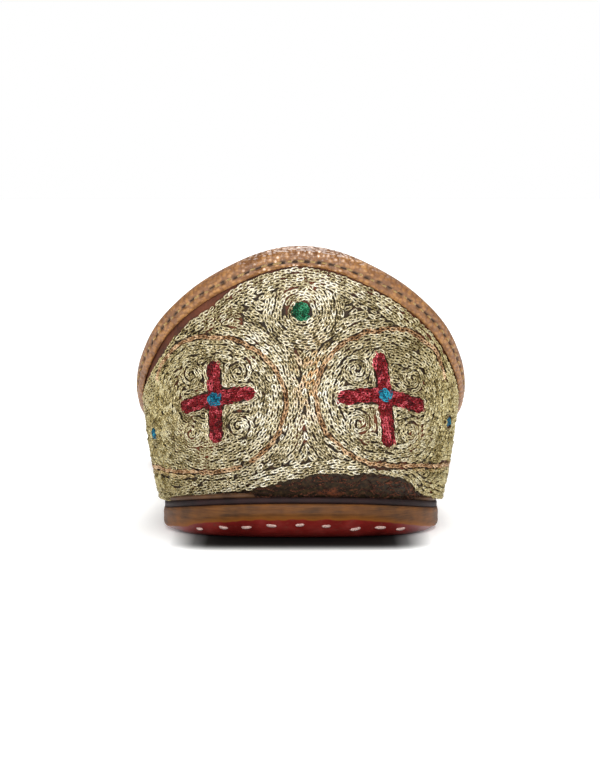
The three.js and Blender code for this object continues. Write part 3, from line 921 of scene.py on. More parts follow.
def sole_side(side, grow, set_in, bottom, top, edge_rows, insets, bulge):
    """Rows of points over a layer's roof, edge and floor on one side, and how far in each lies."""
    edge = sole_edge(side, grow, set_in)
    hub = np.stack([np.zeros(len(edge)), np.clip(edge[:, 1], SEAT_RADIUS, STRAIGHT_END)], 1)
    reach = np.linalg.norm(edge - hub, axis=1)
    inward = (hub - edge) / np.maximum(reach, 1e-9)[:, None]
    rows = []

    def add(inset, height):
        plan = edge + inward * np.minimum(inset, reach)[:, None]
        rows.append(np.stack([plan[:, 0], plan[:, 1], height(plan[:, 1])], 1))

    over = [reach.max()] + list(insets[::-1]) + [CORNER]
    for inset in over:
        add(inset, top)
    for t in np.linspace(0, 1, edge_rows + 1):
        swell = bulge * math.sin(math.pi * t) + 0.06 * math.sin(9 * t)

        def height(along, t=t):
            return (top(along) - CORNER) * (1 - t) + (bottom(along, 0.0) + CORNER * 0.6) * t

        add(-swell, height)
    under = over[::-1]
    for inset in under:
        add(inset, lambda along, inset=inset: bottom(along, inset))
    depth = np.array([0.0] * (len(over) + edge_rows + 1) + under)
    points = np.stack(rows, 1) * np.array([side, 1, 1])
    return points, depth


def sole_layer(name, grow, set_in, bottom, top, edge_rows, insets, material, node, bulge=0.15):
    """A leather layer: roof, edge with slightly rounded corners, and floor, as one closed mesh."""
    halves = [sole_side(side, grow, set_in, bottom, top, edge_rows, insets, bulge) for side in (1, -1)]
    points, depth = halves[0]
    quads = grid_faces(*points.shape[:2], flip=True)
    faces = np.concatenate([quads, quads[:, ::-1] + points.shape[0] * points.shape[1]])
    depth = np.tile(depth, 2 * len(points))
    on_edge = np.tile(np.arange(points.shape[1]) > len(insets) + 1, 2 * len(points))
    attributes = {
        "painted": np.clip(depth / PAINT_START, 0, 1),
        "rim": np.where(on_edge, np.clip(1 - depth / RIM_WIDTH, 0, 1), 0),
    }
    both = np.concatenate([half[0].reshape(-1, 3) for half in halves])
    piece = mesh_piece(name, both, faces, [material], attributes=attributes)
    weld(piece)
    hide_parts(node)


def make_sole():
    fine = [0.6, 1.2, 1.8, 2.4, 3.0, 3.8, 4.6, 5.5, 6.5, 7.5, 8.5, 10.0, WEAR_WIDTH, 16.0, 22.0]
    coarse = [2, 6, 14]
    sole_layer(
        "outsole_leather", 0.0, 0.0, worn_underside, sole_top, 7, fine, OUTSOLE_LEATHER, "outsole",
    )
    sole_layer(
        "midsole_leather", -0.25, 0.0, lambda along, inset: sole_top(along) + 0.04,
        lambda along: sole_top(along) + 1.5, 4, coarse, MIDSOLE_LEATHER, "midsole",
    )
    sole_layer(
        "insole_leather", -0.3, INSOLE_RECESS, lambda along, inset: sole_top(along) + 1.53,
        lambda along: sole_top(along) + 2.6, 4, coarse, INSOLE_LEATHER, "insole", bulge=0.1,
    )


make_sole()


SOLE_STITCH, SOLE_STITCH_INSET, STITCH_CLEARANCE = 6.3, 1.4, 0.6
SOLE_THREAD_LENGTH, SOLE_THREAD_WIDTH, SOLE_THREAD_HEIGHT = 2.9, 0.4, 0.2

# Where the thread is worn away: the middle and half the length of the stretch.
WORN_MIDDLE, WORN_HALF = 38.0, 8.0


def sole_stitches():
    """White thread that shows on the painted underside, a little way in from the edge."""
    edge = sole_edge(1, 0.0, 0.0, 400)
    run = unit(np.gradient(edge, axis=0))
    inner = edge + np.stack([-run[:, 1], run[:, 0]], 1) * SOLE_STITCH_INSET
    inner = inner[(inner[:, 0] > -0.01) & (inner[:, 1] < SOLE_LENGTH - 3)]
    length = lengths_along(inner)
    places = np.arange(0.0, length[-1] - 2, SOLE_STITCH)
    flat = at_lengths(inner, length, places)
    x, along = flat.T
    heading = unit(at_lengths(inner, length, places + 0.5) - flat)
    runs = np.stack([heading[:, 0], heading[:, 1], np.zeros(len(places))], 1)
    outward = np.stack([heading[:, 1], -heading[:, 0]], 1)
    z = worn_underside(along, SOLE_STITCH_INSET)
    rise = worn_underside(along + outward[:, 1], SOLE_STITCH_INSET - 1) - z
    normals = unit(np.stack([outward[:, 0] * rise, outward[:, 1] * rise, -np.ones(len(places))], 1))
    centres = np.stack([x, along, np.maximum(z, STITCH_CLEARANCE)], 1)
    keep = (places > 0.1) & (np.abs(places - WORN_MIDDLE) > WORN_HALF)
    single = [centres[:1], runs[:1], normals[:1]]
    pairs = both_sides(centres[keep], runs[keep], normals[keep])
    centres, runs, normals = (np.concatenate(part) for part in zip(single, pairs))
    jitter = RANDOM.normal(0, 1, (len(centres), 4))
    across = np.cross(normals, runs)
    centres = centres + across * (0.22 * jitter[:, :1]) + runs * (0.3 * jitter[:, 1:2])
    runs = unit(runs + across * (0.1 * jitter[:, 2:3]))
    lengths = SOLE_THREAD_LENGTH + 0.4 * jitter[:, 3]
    threads(
        "sole_stitches", centres, runs, normals, lengths, SOLE_THREAD_WIDTH, SOLE_THREAD_HEIGHT,
        SOLE_THREAD, sides=8,
    )


sole_stitches()


# Chain stitch. Each link is a closed loop of thread that starts in the hole of the link before it.
LINK = 1.28


def link_shape(sections, sides, radius):
    """Points of one link as (along, across, up), the first in link lengths and the others in millimetres."""
    phase = 2 * np.pi * (np.arange(sections) + 0.5) / sections
    share = (1 - np.cos(phase)) / 2
    along = 1.5 * share - 0.12
    across = 0.4 * np.sign(np.sin(phase)) * np.abs(np.sin(phase)) ** 0.75 * (0.2 + 1.1 * share)
    up = 0.1 + 0.34 * np.exp(-((share - 0.4) / 0.26) ** 2) - 0.3 * np.exp(-(share / 0.12) ** 2)
    middle = np.stack([along * LINK, across, up], 1)
    heading = unit(np.roll(middle, -1, 0) - np.roll(middle, 1, 0))
    side = unit(np.cross(np.tile([0.0, 0.0, 1.0], (sections, 1)), heading))
    rise = np.cross(heading, side)
    angles = np.pi / 2 + 2 * np.pi * np.arange(sides) / sides
    ring = [middle + radius * (np.cos(a) * side + np.sin(a) * rise) for a in angles]
    shape = np.stack(ring, 1).reshape(-1, 3)
    shape[:, 0] /= LINK
    tris = halved(grid_faces(sections, sides, wrap_rows=True, wrap_columns=True))
    wrap = np.repeat(np.arange(sections) * (8 / sections), sides)
    return shape, tris, wrap


FINE_LINK = link_shape(11, 4, 0.22)
PLAIN_LINK = link_shape(7, 3, 0.26)


class Cloth:
    """Marks which parts of a chart are sewn already, and in what direction."""

    CELL = 0.2

    def __init__(self, low, high, row):
        self.row = row
        self.low = np.array(low, float)
        size = np.ceil((np.array(high, float) - self.low) / self.CELL).astype(int) + 1
        self.taken = np.zeros(size, bool)
        self.turn = np.zeros(size)

    def spots(self, centre, heading, long, wide, counts):
        """Cells under each link's rectangle."""
        side = np.stack([-heading[:, 1], heading[:, 0]], 1)
        ahead, aside = (heading * long[:, None])[:, None, None], (side * wide[:, None])[:, None, None]
        ahead = np.linspace(-1, 1, counts[0])[None, :, None, None] * ahead
        aside = np.linspace(-1, 1, counts[1])[None, None, :, None] * aside
        found = ((centre[:, None, None] + ahead + aside - self.low) / self.CELL).astype(int)
        return np.clip(found, 0, np.array(self.taken.shape) - 1)

    def free(self, centre, heading, long, wide, most=0.3):
        found = self.spots(centre, heading, long * 0.8, wide * 0.8, (5, 3))
        return self.taken[found[..., 0], found[..., 1]].mean(axis=(1, 2)) < most

    def mark(self, centre, heading, long, wide):
        found = self.spots(centre, heading, long, wide, (11, 7))
        self.taken[found[..., 0], found[..., 1]] = True
        turn = np.arctan2(heading[:, 1], heading[:, 0])
        self.turn[found[..., 0], found[..., 1]] = turn[:, None, None]


# How far links stray: turned, tilted, aside and off the cloth in millimetres, longer, wider.
STRAY = (0.13, 0.06, 0.06, 0.08, 0.06, 0.08)
SPLIT_FROM = 60000


class Needlework:
    """Gathers rows of chain stitch, by colour, and makes the meshes."""

    def __init__(self):
        self.groups = {}

    def add(self, group, chart, start, end, width, warm, loose, lift):
        """Links from chart point to chart point."""
        middle = (start + end) / 2
        spots, ends = chart.point(start[:, 0], start[:, 1]), chart.point(end[:, 0], end[:, 1])
        step = ends - spots
        normal = chart_normal(chart, middle[:, 0], middle[:, 1])
        count = len(start)
        warmth = np.full(count, warm) if np.isscalar(warm) else warm(middle[:, 0], middle[:, 1])
        self.groups.setdefault(group, []).append({
            "place": spots + normal * lift, "run": unit(step), "normal": normal,
            "pitch": np.linalg.norm(step, axis=1), "width": np.full(count, width), "warm": warmth,
            "loose": np.full(count, loose),
            # side: how much painted shade darkens the gold, more towards the low sides of the heel, and
            # partly all over the vamp
            "side": np.clip((np.abs(middle[:, 0]) - 8) / 30, 0, 1) if chart is WALL else np.full(count, 0.6),
        })

    def row(
        self, group, chart, points, keep=None,
        link=LINK, width=1.0, warm=0.0, loose=1.0, lift=0.0, cover=False,
    ):
        """Adds a row along chart points, where keep(u, v) holds and the cloth is still free."""
        points = np.asarray(points, float)
        length = lengths_along(chart.point(points[:, 0], points[:, 1]))
        count = int(round(length[-1] / link))
        if count < 1:
            return
        knots = at_lengths(points, length, np.linspace(0, length[-1], count + 1))
        start, end = knots[:-1], knots[1:]
        middle = (start + end) / 2
        reach = np.linalg.norm(end - start, axis=1)
        heading = (end - start) / reach[:, None]
        wide = np.full(count, 0.5 * chart.cloth.row * width)
        kept = np.ones(count, bool) if keep is None else keep(middle[:, 0], middle[:, 1])
        if not cover:
            kept &= chart.cloth.free(middle, heading, reach / 2, wide)
        if kept.any():
            chart.cloth.mark(middle[kept], heading[kept], reach[kept] / 2, wide[kept])
            self.add(group, chart, start[kept], end[kept], width, warm, loose, lift)

    def fill(self, group, chart, inside, link=1.3, width=0.9, most=0.34, warm=0.0):
        """Puts single links into gaps that are left, in the direction of their neighbours."""
        cloth = chart.cloth
        free = np.argwhere(~cloth.taken)
        spots = cloth.low + (free + 0.5) * cloth.CELL
        wanted = inside(spots[:, 0], spots[:, 1])
        order = RANDOM.permutation(np.flatnonzero(wanted))
        starts, ends = [], []
        for index in order:
            i, j = free[index]
            if cloth.taken[i, j]:
                continue
            near = (slice(max(i - 5, 0), i + 6), slice(max(j - 5, 0), j + 6))
            turns = cloth.turn[near][cloth.taken[near]]
            if len(turns) < 8:
                continue
            turn = math.atan2(np.sin(2 * turns).sum(), np.cos(2 * turns).sum()) / 2
            heading = np.array([[math.cos(turn), math.sin(turn)]])
            centre = spots[index][None]
            half, wide = np.array([link / 2]), np.array([0.5 * cloth.row * width])
            if cloth.free(centre, heading, half, wide, most)[0]:
                cloth.mark(centre, heading, half, wide)
                starts.append(centre[0] - heading[0] * link / 2)
                ends.append(centre[0] + heading[0] * link / 2)
        if starts:
            self.add(group, chart, np.array(starts), np.array(ends), width, warm, 1.2, -0.03)

    def make(self, name, group, material, shape):
        """One piece for each side of the shoe, or one for both where there are few links."""
        found = self.groups.get(group, [])
        data = {key: np.concatenate([links[key] for links in found]) for key in found[0]}
        if len(data["place"]) * len(shape[1]) < SPLIT_FROM:
            self.piece(name, data, material, shape)
            return
        left = data["place"][:, 0] < 0
        for ending, kept in (("_left", left), ("_right", ~left)):
            self.piece(name + ending, {key: values[kept] for key, values in data.items()}, material, shape)

    def piece(self, name, data, material, shape):
        count = len(data["place"])
        template, tris, wrap = shape
        size = len(template)
        jitter = RANDOM.normal(0, 1, (count, 6)) * data["loose"][:, None]
        normal = data["normal"]
        across = unit(np.cross(normal, data["run"]))
        run = unit(data["run"] + across * (STRAY[0] * jitter[:, :1]) + normal * (STRAY[1] * jitter[:, 1:2]))
        across = unit(np.cross(normal, run))
        off = normal * (STRAY[3] * np.abs(jitter[:, 3:4]))
        place = data["place"] + across * (STRAY[2] * jitter[:, 2:3]) + off
        long = data["pitch"] * (1 + STRAY[4] * jitter[:, 4])
        wide = data["width"] * (1 + STRAY[5] * jitter[:, 5])
        tall = np.minimum(data["width"], 1.0)
        points = (
            place[:, None]
            + run[:, None] * (template[None, :, :1] * long[:, None, None])
            + across[:, None] * (template[None, :, 1:2] * wide[:, None, None])
            + normal[:, None] * (template[None, :, 2:] * tall[:, None, None])
        )
        faces = (tris[None] + (np.arange(count) * size)[:, None, None]).reshape(-1, 3)
        attributes = {"tone": np.repeat(RANDOM.uniform(0, 1, count), size), "wrap": np.tile(wrap, count)}
        attributes.update({label: np.repeat(data[label], size) for label in ("warm", "side")})
        mesh_piece(name, points.reshape(-1, 3), faces, [material], attributes=attributes)


ROW = 1.06
VAMP_ROW = 1.4
WALL.cloth = Cloth((-WALL.REACH, -3), (WALL.REACH, 75), ROW)
CROWN.cloth = Cloth((CROWN.START, -85), (CROWN.END, 85), VAMP_ROW)
SEWN = Needlework()
SPOT_ROW = 0.8
SCROLL_ROWS = 13
SPIRAL_RADIUS = 3.3


def wobble(points, amount=0.22):
    """Hand-sewn rows waver a little."""
    u, v = points[:, 0], points[:, 1]
    shift_u = np.sin(v * 0.61 + u * 0.23 + 1.3) + 0.6 * np.sin(v * 1.3 - u * 0.31)
    shift_v = np.sin(u * 0.53 - v * 0.29 + 0.4) + 0.6 * np.sin(u * 1.17 + v * 0.37 + 2.0)
    return np.stack([u + amount * shift_u, v + amount * shift_v], 1)


def ring(centre, radii, count=200, start=0.0):
    """An oval path, or a round one where radii is one number."""
    radii = np.broadcast_to(radii, 2)
    t = start + np.linspace(0, 2 * np.pi, count)
    return np.stack([centre[0] + radii[0] * np.cos(t), centre[1] + radii[1] * np.sin(t)], 1)


def spiral(centre, radius, turn=0.0, hand=1, spacing=1.05):
    inner = 0.42 * spacing
    laps = (radius - inner) / spacing
    t = np.linspace(0, 2 * np.pi * laps, int(60 * laps))
    r = inner + spacing * t / (2 * np.pi)
    return np.stack([centre[0] + r * np.cos(hand * t + turn), centre[1] + r * np.sin(hand * t + turn)], 1)


def polyline(corners, step=0.4):
    corners = np.asarray(corners, float)
    length = lengths_along(corners)
    return at_lengths(corners, length, np.linspace(0, length[-1], max(int(length[-1] / step), 2)))


def soften(points, rounds=3):
    """Rounds the corners of a path."""
    for _ in range(rounds):
        middle = (points[1:] + points[:-1]) / 2
        points = np.concatenate([points[:1], middle, points[-1:]])
    return points


def spot(chart, colour, centre, radius, lift=0.05):
    """A small round spot of coloured thread."""
    path = spiral(centre, radius - 0.3, spacing=SPOT_ROW * 0.8)
    SEWN.row(colour, chart, path, link=1.0, width=0.72, loose=1.3, lift=lift, cover=True)


class Cross:
    """Four red arms with round ends, a blue centre and a gold outline."""

    HALF, OUTLINE = 1.6, 0.5

    def __init__(self, heart, ends):
        self.heart = np.array(heart, float)
        self.ends = [np.array(end, float) for end in ends]

    def sew(self, group, chart):
        half, grown = self.HALF, self.HALF + self.OUTLINE
        order = sorted(self.ends, key=lambda end: math.atan2(*(end - self.heart)[::-1]))
        aims = [unit(end - self.heart) for end in order]
        edge = []
        for i, (end, ahead) in enumerate(zip(order, aims)):
            side = np.array([-ahead[1], ahead[0]])
            centre = end - ahead * half
            for shift in (-0.75 * half, -0.25 * half, 0.25 * half, 0.75 * half):
                start = self.heart + ahead * 0.7 + side * shift
                finish = centre + ahead * math.sqrt(half ** 2 - shift ** 2) + side * shift * 0.9
                path = wobble(polyline([start, finish]), 0.07)
                SEWN.row("red", chart, path, link=1.0, width=0.86, loose=1.5, cover=True)
            for turn in np.linspace(-math.pi / 2, math.pi / 2, 9):
                edge.append(centre + grown * (math.cos(turn) * ahead + math.sin(turn) * side))
            edge.append(self.heart + grown * (ahead + aims[(i + 1) % len(aims)]) * 1.05)
        edge.append(edge[0])
        SEWN.row(group, chart, soften(polyline(edge), 2), link=1.15, width=0.82, cover=True)
        spot(chart, "blue", self.heart, 1.9, 0.38)


def scroll(group, chart, shape, cross, spirals, inside, copper_area):
    """A round scroll: a cross with four spirals in a ring of coppery thread."""
    centre, radii = shape["centre"], shape["radii"]
    cross.sew(group, chart)
    for i, place in enumerate(spirals):
        path = spiral(place, SPIRAL_RADIUS, turn=1.3 * i, hand=(-1) ** i)
        SEWN.row(group, chart, path, link=1.2, width=0.86)
    row = chart.cloth.row
    SEWN.row("copper", chart, wobble(ring(centre, radii, 220, 0.4), 0.12), copper_area)
    for k in range(SCROLL_ROWS):
        size = (radii[0] - k * row, radii[1] - k * row)
        if min(size) > 1:
            SEWN.row(group, chart, wobble(ring(centre, size, 200, 0.7 * k), 0.14), inside)


def ring_distance(shape, u, v):
    """Distance outside a ring, negative inside."""
    du, dv = u - shape["centre"][0], v - shape["centre"][1]
    share = np.hypot(du / shape["radii"][0], dv / shape["radii"][1])
    return (share - 1) * np.hypot(du, dv) / np.maximum(share, 1e-6)


def surround(chart, group, shapes, inside, rows, warm=0.0, link=LINK):
    """Rows round each shape, out to where the next shape's rows begin."""
    for k in range(1, rows + 1):
        for shape in shapes:
            def keep(u, v, shape=shape):
                own = ring_distance(shape, u, v)
                others = [ring_distance(other, u, v) for other in shapes if other is not shape]
                return inside(u, v) & (own <= np.min(others, axis=0) + 0.3)

            radii = (shape["radii"][0] + k * chart.cloth.row, shape["radii"][1] + k * chart.cloth.row)
            SEWN.row(group, chart, wobble(ring(shape["centre"], radii, 260), 0.16), keep, link, warm=warm)


# The heel's design, in the wall chart.
EDGE_MARGIN = BINDING_DEPTH + 0.45
BARE_MARGIN = 1.5
LEFT_RING = {"centre": (-21.0, 21.2), "radii": (17.7, 15.5)}
RIGHT_RING = {"centre": (20.5, 22.8), "radii": (17.2, 15.6)}
LEFT_CROSS = Cross((-19.5, 22.6), [(-19.75, 31.0), (-10.25, 23.9), (-19.25, 12.4), (-28.8, 20.7)])
RIGHT_CROSS = Cross((18.9, 23.4), [(17.4, 32.8), (29.8, 20.8), (20.3, 11.5), (8.2, 22.6)])
LEFT_SPIRALS = [(-13.8, 28.4), (-25.7, 28.2), (-26.2, 14.8), (-13.9, 16.1)]
RIGHT_SPIRALS = [(12.4, 29.0), (26.2, 27.4), (12.9, 16.9), (26.1, 15.1)]
TOP_SPIRALS = [(-17.6, 41.4, 2.3), (16.2, 43.1, 2.3)]
GREEN_SPOT = {"centre": (0.25, 42.2), "radii": (2.4, 2.4)}
SIDE_SPOTS = [(-41.5, 14.6), (41.5, 17.6)]
HEEL_END = 50.0
SLIT_WIDTH = 0.5

# station, height, length, turn
SLITS = (
    (-9.9, 44.0, 3.2, 1.35), (-12.0, 42.6, 1.8, 1.57), (-12.8, 40.4, 1.8, 1.3), (-14.9, 41.4, 1.3, 1.1),
    (-3.6, 42.2, 2.6, 1.57), (10.2, 42.5, 2.3, 1.57), (12.4, 42.6, 1.9, 1.6), (17.0, 42.0, 1.6, 1.5),
    (-12.5, 7.4, 4.0, 0.35), (-26.0, 2.6, 5.0, 0.05), (21.0, 8.0, 6.0, -0.12), (33.0, 6.0, 4.0, 0.1),
)


def hem(u):
    """Lower edge of the embroidery: raised right of the middle, hanging over the foot further out."""
    return 0.4 - 1.5 * ease((np.abs(u) - 24) / 10) + 5.0 * np.exp(-np.abs((u - 11.5) / 21.4) ** 3)


def margin(u):
    """From the cut edge to the first row. Some leather stays bare under the binding on the left."""
    bare = np.clip((-14.0 - u) / 6, 0, 1) * np.clip((u + 48) / 13, 0, 1)
    return EDGE_MARGIN + BARE_MARGIN * bare


def wall_area(u, v):
    return (v > hem(u)) & ((WALL.top(u) - v) * WALL.slope(u) > margin(u) + 0.4)


def back_part(u, v):
    return wall_area(u, v) & (np.abs(u) <= HEEL_END)


def side_part(u, v):
    return wall_area(u, v) & (np.abs(u) > HEEL_END) & (np.abs(u) < SIDE_END)


def warm_heel(u, v):
    """Some links between the scrolls are coppery."""
    middle = np.exp(-((u - 3.0) / 4.0) ** 2 - ((v - 27.0) / 7.0) ** 2)
    return np.clip(0.9 * middle * (np.sin(u * 7.1 + v * 5.3) > -0.2), 0, 1)


def border(group, count_top, count_hem, first, last):
    """Rows along the collar and along the hem."""
    u = np.arange(first, last + 0.1, 0.5)
    for k in range(count_top):
        v = WALL.top(u) - (margin(u) + (k + 0.45) * ROW) / WALL.slope(u)
        SEWN.row(group, WALL, wobble(np.stack([u, v], 1), 0.08), wall_area, warm=warm_heel)
    for k in range(count_hem):
        v = hem(u) + (k + 0.5) * ROW
        SEWN.row(group, WALL, wobble(np.stack([u, v], 1), 0.12), wall_area)


def slits():
    """Short bare slits between rows."""
    for u, v, length, turn in SLITS:
        heading = np.array([[math.cos(turn), math.sin(turn)]])
        WALL.cloth.mark(np.array([[u, v]]), heading, np.array([length / 2]), np.array([SLIT_WIDTH / 2]))


def tucked_strip():
    """Rough turned-in edge under the hem, as rows of loose brown thread, coloured dark with painted shade
    where the strip tucks in.
    """
    u = np.arange(-20.0, 42.0, 0.5)
    look = {"link": 1.0, "width": 0.36, "loose": 3.0, "lift": -0.12, "cover": True}
    for k in range(5):
        path = wobble(np.stack([u, hem(u) - 0.7 - 0.95 * k], 1), 0.3)
        SEWN.row("hem", WALL, path, lambda u, v: v > -0.6, **look)


def sew_heel():
    slits()

    def copper_area(u, v):
        low = (np.abs(u) > 25) & (v < 16)
        return wall_area(u, v) & ((np.abs(u) < 33) | (v > 28)) & ~low

    for side, low, rise in ((-1, LEFT_RING, 1.2), (1, RIGHT_RING, 0.2)):
        u = np.arange(abs(low["centre"][0]) + 4, HEEL_END, 0.5)
        v = low["centre"][1] - low["radii"][1] + 0.1 + rise * ease((u - 26) / 20)
        for k in range(2):
            path = wobble(np.stack([side * u, v - k * ROW], 1), 0.08)
            SEWN.row("gold" if k else "copper", WALL, path, wall_area, warm=0.3)
    for shape, cross, spirals in (
        (LEFT_RING, LEFT_CROSS, LEFT_SPIRALS), (RIGHT_RING, RIGHT_CROSS, RIGHT_SPIRALS),
    ):
        scroll("gold", WALL, shape, cross, spirals, wall_area, copper_area)
    spot(WALL, "green", GREEN_SPOT["centre"], GREEN_SPOT["radii"][0])
    for place in SIDE_SPOTS:
        spot(WALL, "blue", place, 1.6)
        SEWN.row("gold", WALL, ring(place, 2.2), link=1.3)
    border("gold", 4, 0, -HEEL_END, HEEL_END)
    for k in range(6):
        r = GREEN_SPOT["radii"][0] + (k + 0.5) * ROW
        SEWN.row("gold", WALL, wobble(ring(GREEN_SPOT["centre"], r), 0.14), wall_area, warm=warm_heel)
    for u, v, r in TOP_SPIRALS:
        SEWN.row("gold", WALL, spiral((u, v), r, turn=1.0), wall_area, link=1.3, width=0.9)
    border("gold", 0, 3, -HEEL_END, HEEL_END)
    tucked_strip()

    def heel_area(u, v):
        return wall_area(u, v) & (np.abs(u) < HEEL_END)

    surround(WALL, "gold", [LEFT_RING, RIGHT_RING], heel_area, 18, warm_heel)


SIDE_COLOURS = ("red", "green", "blue")
SIDE_STEP = 15.5
SIDE_END = station_at(116)


def sew_sides():
    """Ringed coloured spots along both low sides, between rows that follow the edges."""
    border("side", 2, 1, HEEL_END, SIDE_END)
    border("side", 2, 1, -SIDE_END, -HEEL_END)
    places = np.arange(HEEL_END + 8, SIDE_END - 4, SIDE_STEP)
    for side in (-1, 1):
        shapes = []
        for i, u in enumerate(places):
            room = float(WALL.top(u) - EDGE_MARGIN - hem(u))
            shapes.append({"centre": (side * u, hem(u) + ROW + (room - 3 * ROW) / 2), "radii": (4.3, 4.3)})
            spot(WALL, SIDE_COLOURS[i % 3], shapes[-1]["centre"], 1.7)
            for k in range(3):
                r = 1.7 + (k + 0.45) * ROW
                SEWN.row("copper" if k == 2 else "side", WALL, ring(shapes[-1]["centre"], r), wall_area)

        def side_area(u, v, side=side):
            return wall_area(u, v) & (u * side > HEEL_END - 1) & (u * side < SIDE_END)

        surround(WALL, "side", shapes, side_area, 9)


# The vamp's design, in the crown chart.
VAMP_LINK = 1.7
VAMP_START = 116
FOOT_MARGIN = 0.6
VAMP_RING = {"centre": (184.0, 0.0), "radii": (15.5, 16.5)}
VAMP_CROSS = Cross((184, 0), [(193.5, 0), (184, 9.5), (174.5, 0), (184, -9.5)])
VAMP_SPIRALS = [(190.3, 6.3), (177.7, 6.3), (177.7, -6.3), (190.3, -6.3)]
THROAT_SPOT = (159.5, 0.0)
TOE_SPOT = (213.0, 0.0)
TIP_SPOT = (243.0, 0.0)
SIDE_RINGS = [(153.0, 41.0, 10.5, "blue"), (205.0, 31.0, 8.0, "red"), (231.0, 18.0, 6.0, "blue")]


def vamp_area(u, v):
    reach = np.abs(v)
    clear = (reach > CROWN.cut(u) + EDGE_MARGIN * 0.9) | (u > THROAT_ALONG + EDGE_MARGIN)
    return (reach < CROWN.foot(u) - FOOT_MARGIN) & clear & (u > VAMP_START) & (u < CROWN.END - 2)


def throat_rows(count):
    """Rows that follow the throat's edge round over the instep."""
    along = np.concatenate([np.linspace(112, 140, 60), THROAT_ALONG - 10 * np.linspace(1, 0, 60)[1:] ** 2])
    edge = np.stack([along, CROWN.cut(along)], 1)
    edge = np.concatenate([edge, edge[-2::-1] * np.array([1, -1])])
    run = unit(np.gradient(edge, axis=0))
    out = np.stack([-run[:, 1], run[:, 0]], 1)
    out *= np.sign(out[len(out) // 2, 0])
    for k in range(count):
        path = soften(edge + out * (EDGE_MARGIN + 0.4 + (k + 0.5) * VAMP_ROW), 8)
        SEWN.row("vamp", CROWN, wobble(path, 0.08), vamp_area, VAMP_LINK)


def sew_vamp():
    scroll("vamp", CROWN, VAMP_RING, VAMP_CROSS, VAMP_SPIRALS, vamp_area, vamp_area)
    shapes = [VAMP_RING]
    for colour, place, most in (("green", THROAT_SPOT, 3), ("green", TOE_SPOT, 5), ("red", TIP_SPOT, 5)):
        spot(CROWN, colour, place, 2.2)
        for k in range(most):
            r = 2.3 + (k + 0.5) * VAMP_ROW
            thread = "copper" if k == 4 else "vamp"
            SEWN.row(thread, CROWN, wobble(ring(place, r), 0.1), vamp_area, VAMP_LINK)
        shapes.append({"centre": place, "radii": (2.3 + most * VAMP_ROW,) * 2})
    for u, v, r, colour in SIDE_RINGS:
        for side in (-1, 1):
            place = (u, side * v)
            spot(CROWN, colour, place, 2.0)
            SEWN.row("copper", CROWN, wobble(ring(place, r), 0.12), vamp_area, VAMP_LINK)
            for size in np.arange(r - VAMP_ROW, 2.2, -VAMP_ROW):
                SEWN.row("vamp", CROWN, wobble(ring(place, size), 0.12), vamp_area, VAMP_LINK)
            shapes.append({"centre": place, "radii": (r, r)})
    throat_rows(3)
    along = np.linspace(114, CROWN.END - 1.0, 500)
    for k in range(3):
        for side in (-1, 1):
            reach = CROWN.foot(along) - FOOT_MARGIN - (k + 0.5) * VAMP_ROW
            path = np.stack([along, side * np.maximum(reach, 0.4)], 1)
            SEWN.row("vamp", CROWN, wobble(path[reach > 0.6], 0.08), vamp_area, VAMP_LINK)
    surround(CROWN, "vamp", shapes, vamp_area, 28, link=VAMP_LINK)


sew_heel()
sew_sides()
for link, width, most in ((1.3, 0.95, 0.3), (1.0, 0.8, 0.42)):
    SEWN.fill("gold", WALL, back_part, link, width, most, warm_heel)
SEWN.fill("side", WALL, side_part)
sew_vamp()
SEWN.fill("vamp", CROWN, vamp_area, VAMP_LINK)
SEWN.make("embroidery_vamp", "vamp", GOLD, PLAIN_LINK)
SEWN.make("embroidery_heel", "gold", GOLD, FINE_LINK)
SEWN.make("embroidery_sides", "side", GOLD, PLAIN_LINK)
for colour, finish in (("copper", COPPER), ("red", RED), ("blue", BLUE), ("green", GREEN), ("hem", HEM)):
    SEWN.make("embroidery_" + colour, colour, finish, FINE_LINK)


# Floor, light and camera.
WORLD_LIGHT = 0.34

# name, direction to the light, strength, angle across
SUNS = (
    ("key", (0.1, 0.5, 1.3), 2.9, 50),
    ("front_left", (-0.6, -1.0, 0.22), 0.85, 36),
    ("front_right", (0.65, -1.0, 0.2), 0.7, 36),
    ("glint", (0.02, -1.0, 0.2), 0.85, 20),
    ("glint_high", (0.0, -1.0, 0.9), 0.5, 26),
)
# A painted shadow on the floor round the heel: where it starts and how far it fades along, its half width and
# how far it fades aside.
PAINTED_SHADOW_START, PAINTED_SHADOW_REACH = 5.0, 17.0
PAINTED_SHADOW_HALF, PAINTED_SHADOW_SIDE_REACH = 19.0, 12.0
# The floor glows a little, fading out where its shadow is painted.
FLOOR_GLOW = 0.24


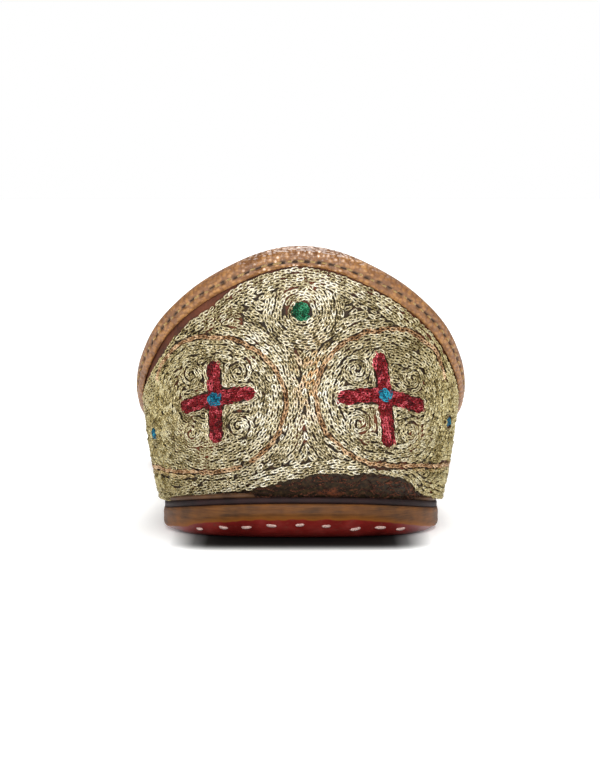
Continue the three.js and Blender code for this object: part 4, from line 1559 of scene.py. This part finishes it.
def floor_sheet():
    """Pale paper floor with a painted shadow under and round the raised back edge of the sole; the paper
    glows a little outside that shadow.
    """
    near = np.arange(-0.051, 0.052, 0.003)
    across, onward = (np.concatenate([[-20, -1], fine, [1, 20]]) for fine in (near, near + BACK_EDGE * MM))
    x, y = np.meshgrid(across, onward, indexing="ij")
    away = np.maximum(np.abs(y / MM - BACK_EDGE - 8) - 8 - PAINTED_SHADOW_START, 0) / PAINTED_SHADOW_REACH
    aside = np.maximum(np.abs(x) / MM - PAINTED_SHADOW_HALF, 0) / PAINTED_SHADOW_SIDE_REACH
    shade = 1 - ease(np.hypot(away, aside)) ** 2
    mesh = bpy.data.meshes.new("floor")
    corners = np.stack([x, y, np.zeros_like(x)], -1).reshape(-1, 3)
    mesh.from_pydata(corners.tolist(), [], grid_faces(*x.shape).tolist())
    layer = mesh.attributes.new("shade", "FLOAT", "POINT")
    layer.data.foreach_set("value", shade.ravel().astype(np.float32))
    made = Finish("floor_paper", Roughness=0.9, Specular_IOR_Level=0.1)
    # painted shadow: the floor is coloured near black round the heel, and its glow fades out there
    colour = made.mix(made.attribute("shade"), paint(248, 248, 248), paint(8, 8, 8))
    glow = made.math("MULTIPLY", made.math("SUBTRACT", 1.0, made.attribute("shade")), FLOOR_GLOW)
    mesh.materials.append(made.set(Base_Color=colour, Emission_Color=colour, Emission_Strength=glow))
    floor = bpy.data.objects.new("floor", mesh)
    bpy.context.scene.collection.objects.link(floor)


def studio():
    world = bpy.data.worlds.new("studio")
    bpy.context.scene.world = world
    world.use_nodes = True
    shade = world.node_tree.nodes["Background"]
    shade.inputs["Color"].default_value = (1, 1, 1, 1)
    seen = world.node_tree.nodes.new("ShaderNodeLightPath").outputs["Is Camera Ray"]
    strength = world.node_tree.nodes.new("ShaderNodeMapRange")
    strength.inputs["To Min"].default_value = WORLD_LIGHT
    strength.inputs["To Max"].default_value = 1.0
    world.node_tree.links.new(seen, strength.inputs["Value"])
    world.node_tree.links.new(strength.outputs["Result"], shade.inputs["Strength"])
    bpy.context.scene.view_settings.view_transform = "Standard"
    for name, toward, power, width in SUNS:
        light = bpy.data.lights.new(name, "SUN")
        light.energy = power
        light.angle = math.radians(width)
        lamp = bpy.data.objects.new(name, light)
        x, y, z = toward
        lamp.rotation_euler = (math.atan2(math.hypot(x, y), z), 0, math.atan2(y, x) + math.pi / 2)
        bpy.context.scene.collection.objects.link(lamp)


floor_sheet()
studio()

CAMERA_BEHIND = 690.0
CAMERA_HEIGHT = 79.4
CAMERA_SIDE = -0.2
CAMERA_PITCH = 3.63
CAMERA_LENS = 143.95
camera = bpy.data.objects.new("camera", bpy.data.cameras.new("camera"))
camera.data.lens = CAMERA_LENS
camera.data.sensor_width = 36
camera.location = to_row([CAMERA_SIDE, -CAMERA_BEHIND, CAMERA_HEIGHT])
camera.rotation_euler = (math.radians(90 - CAMERA_PITCH), 0, 0)
bpy.context.scene.collection.objects.link(camera)
bpy.context.scene.camera = camera
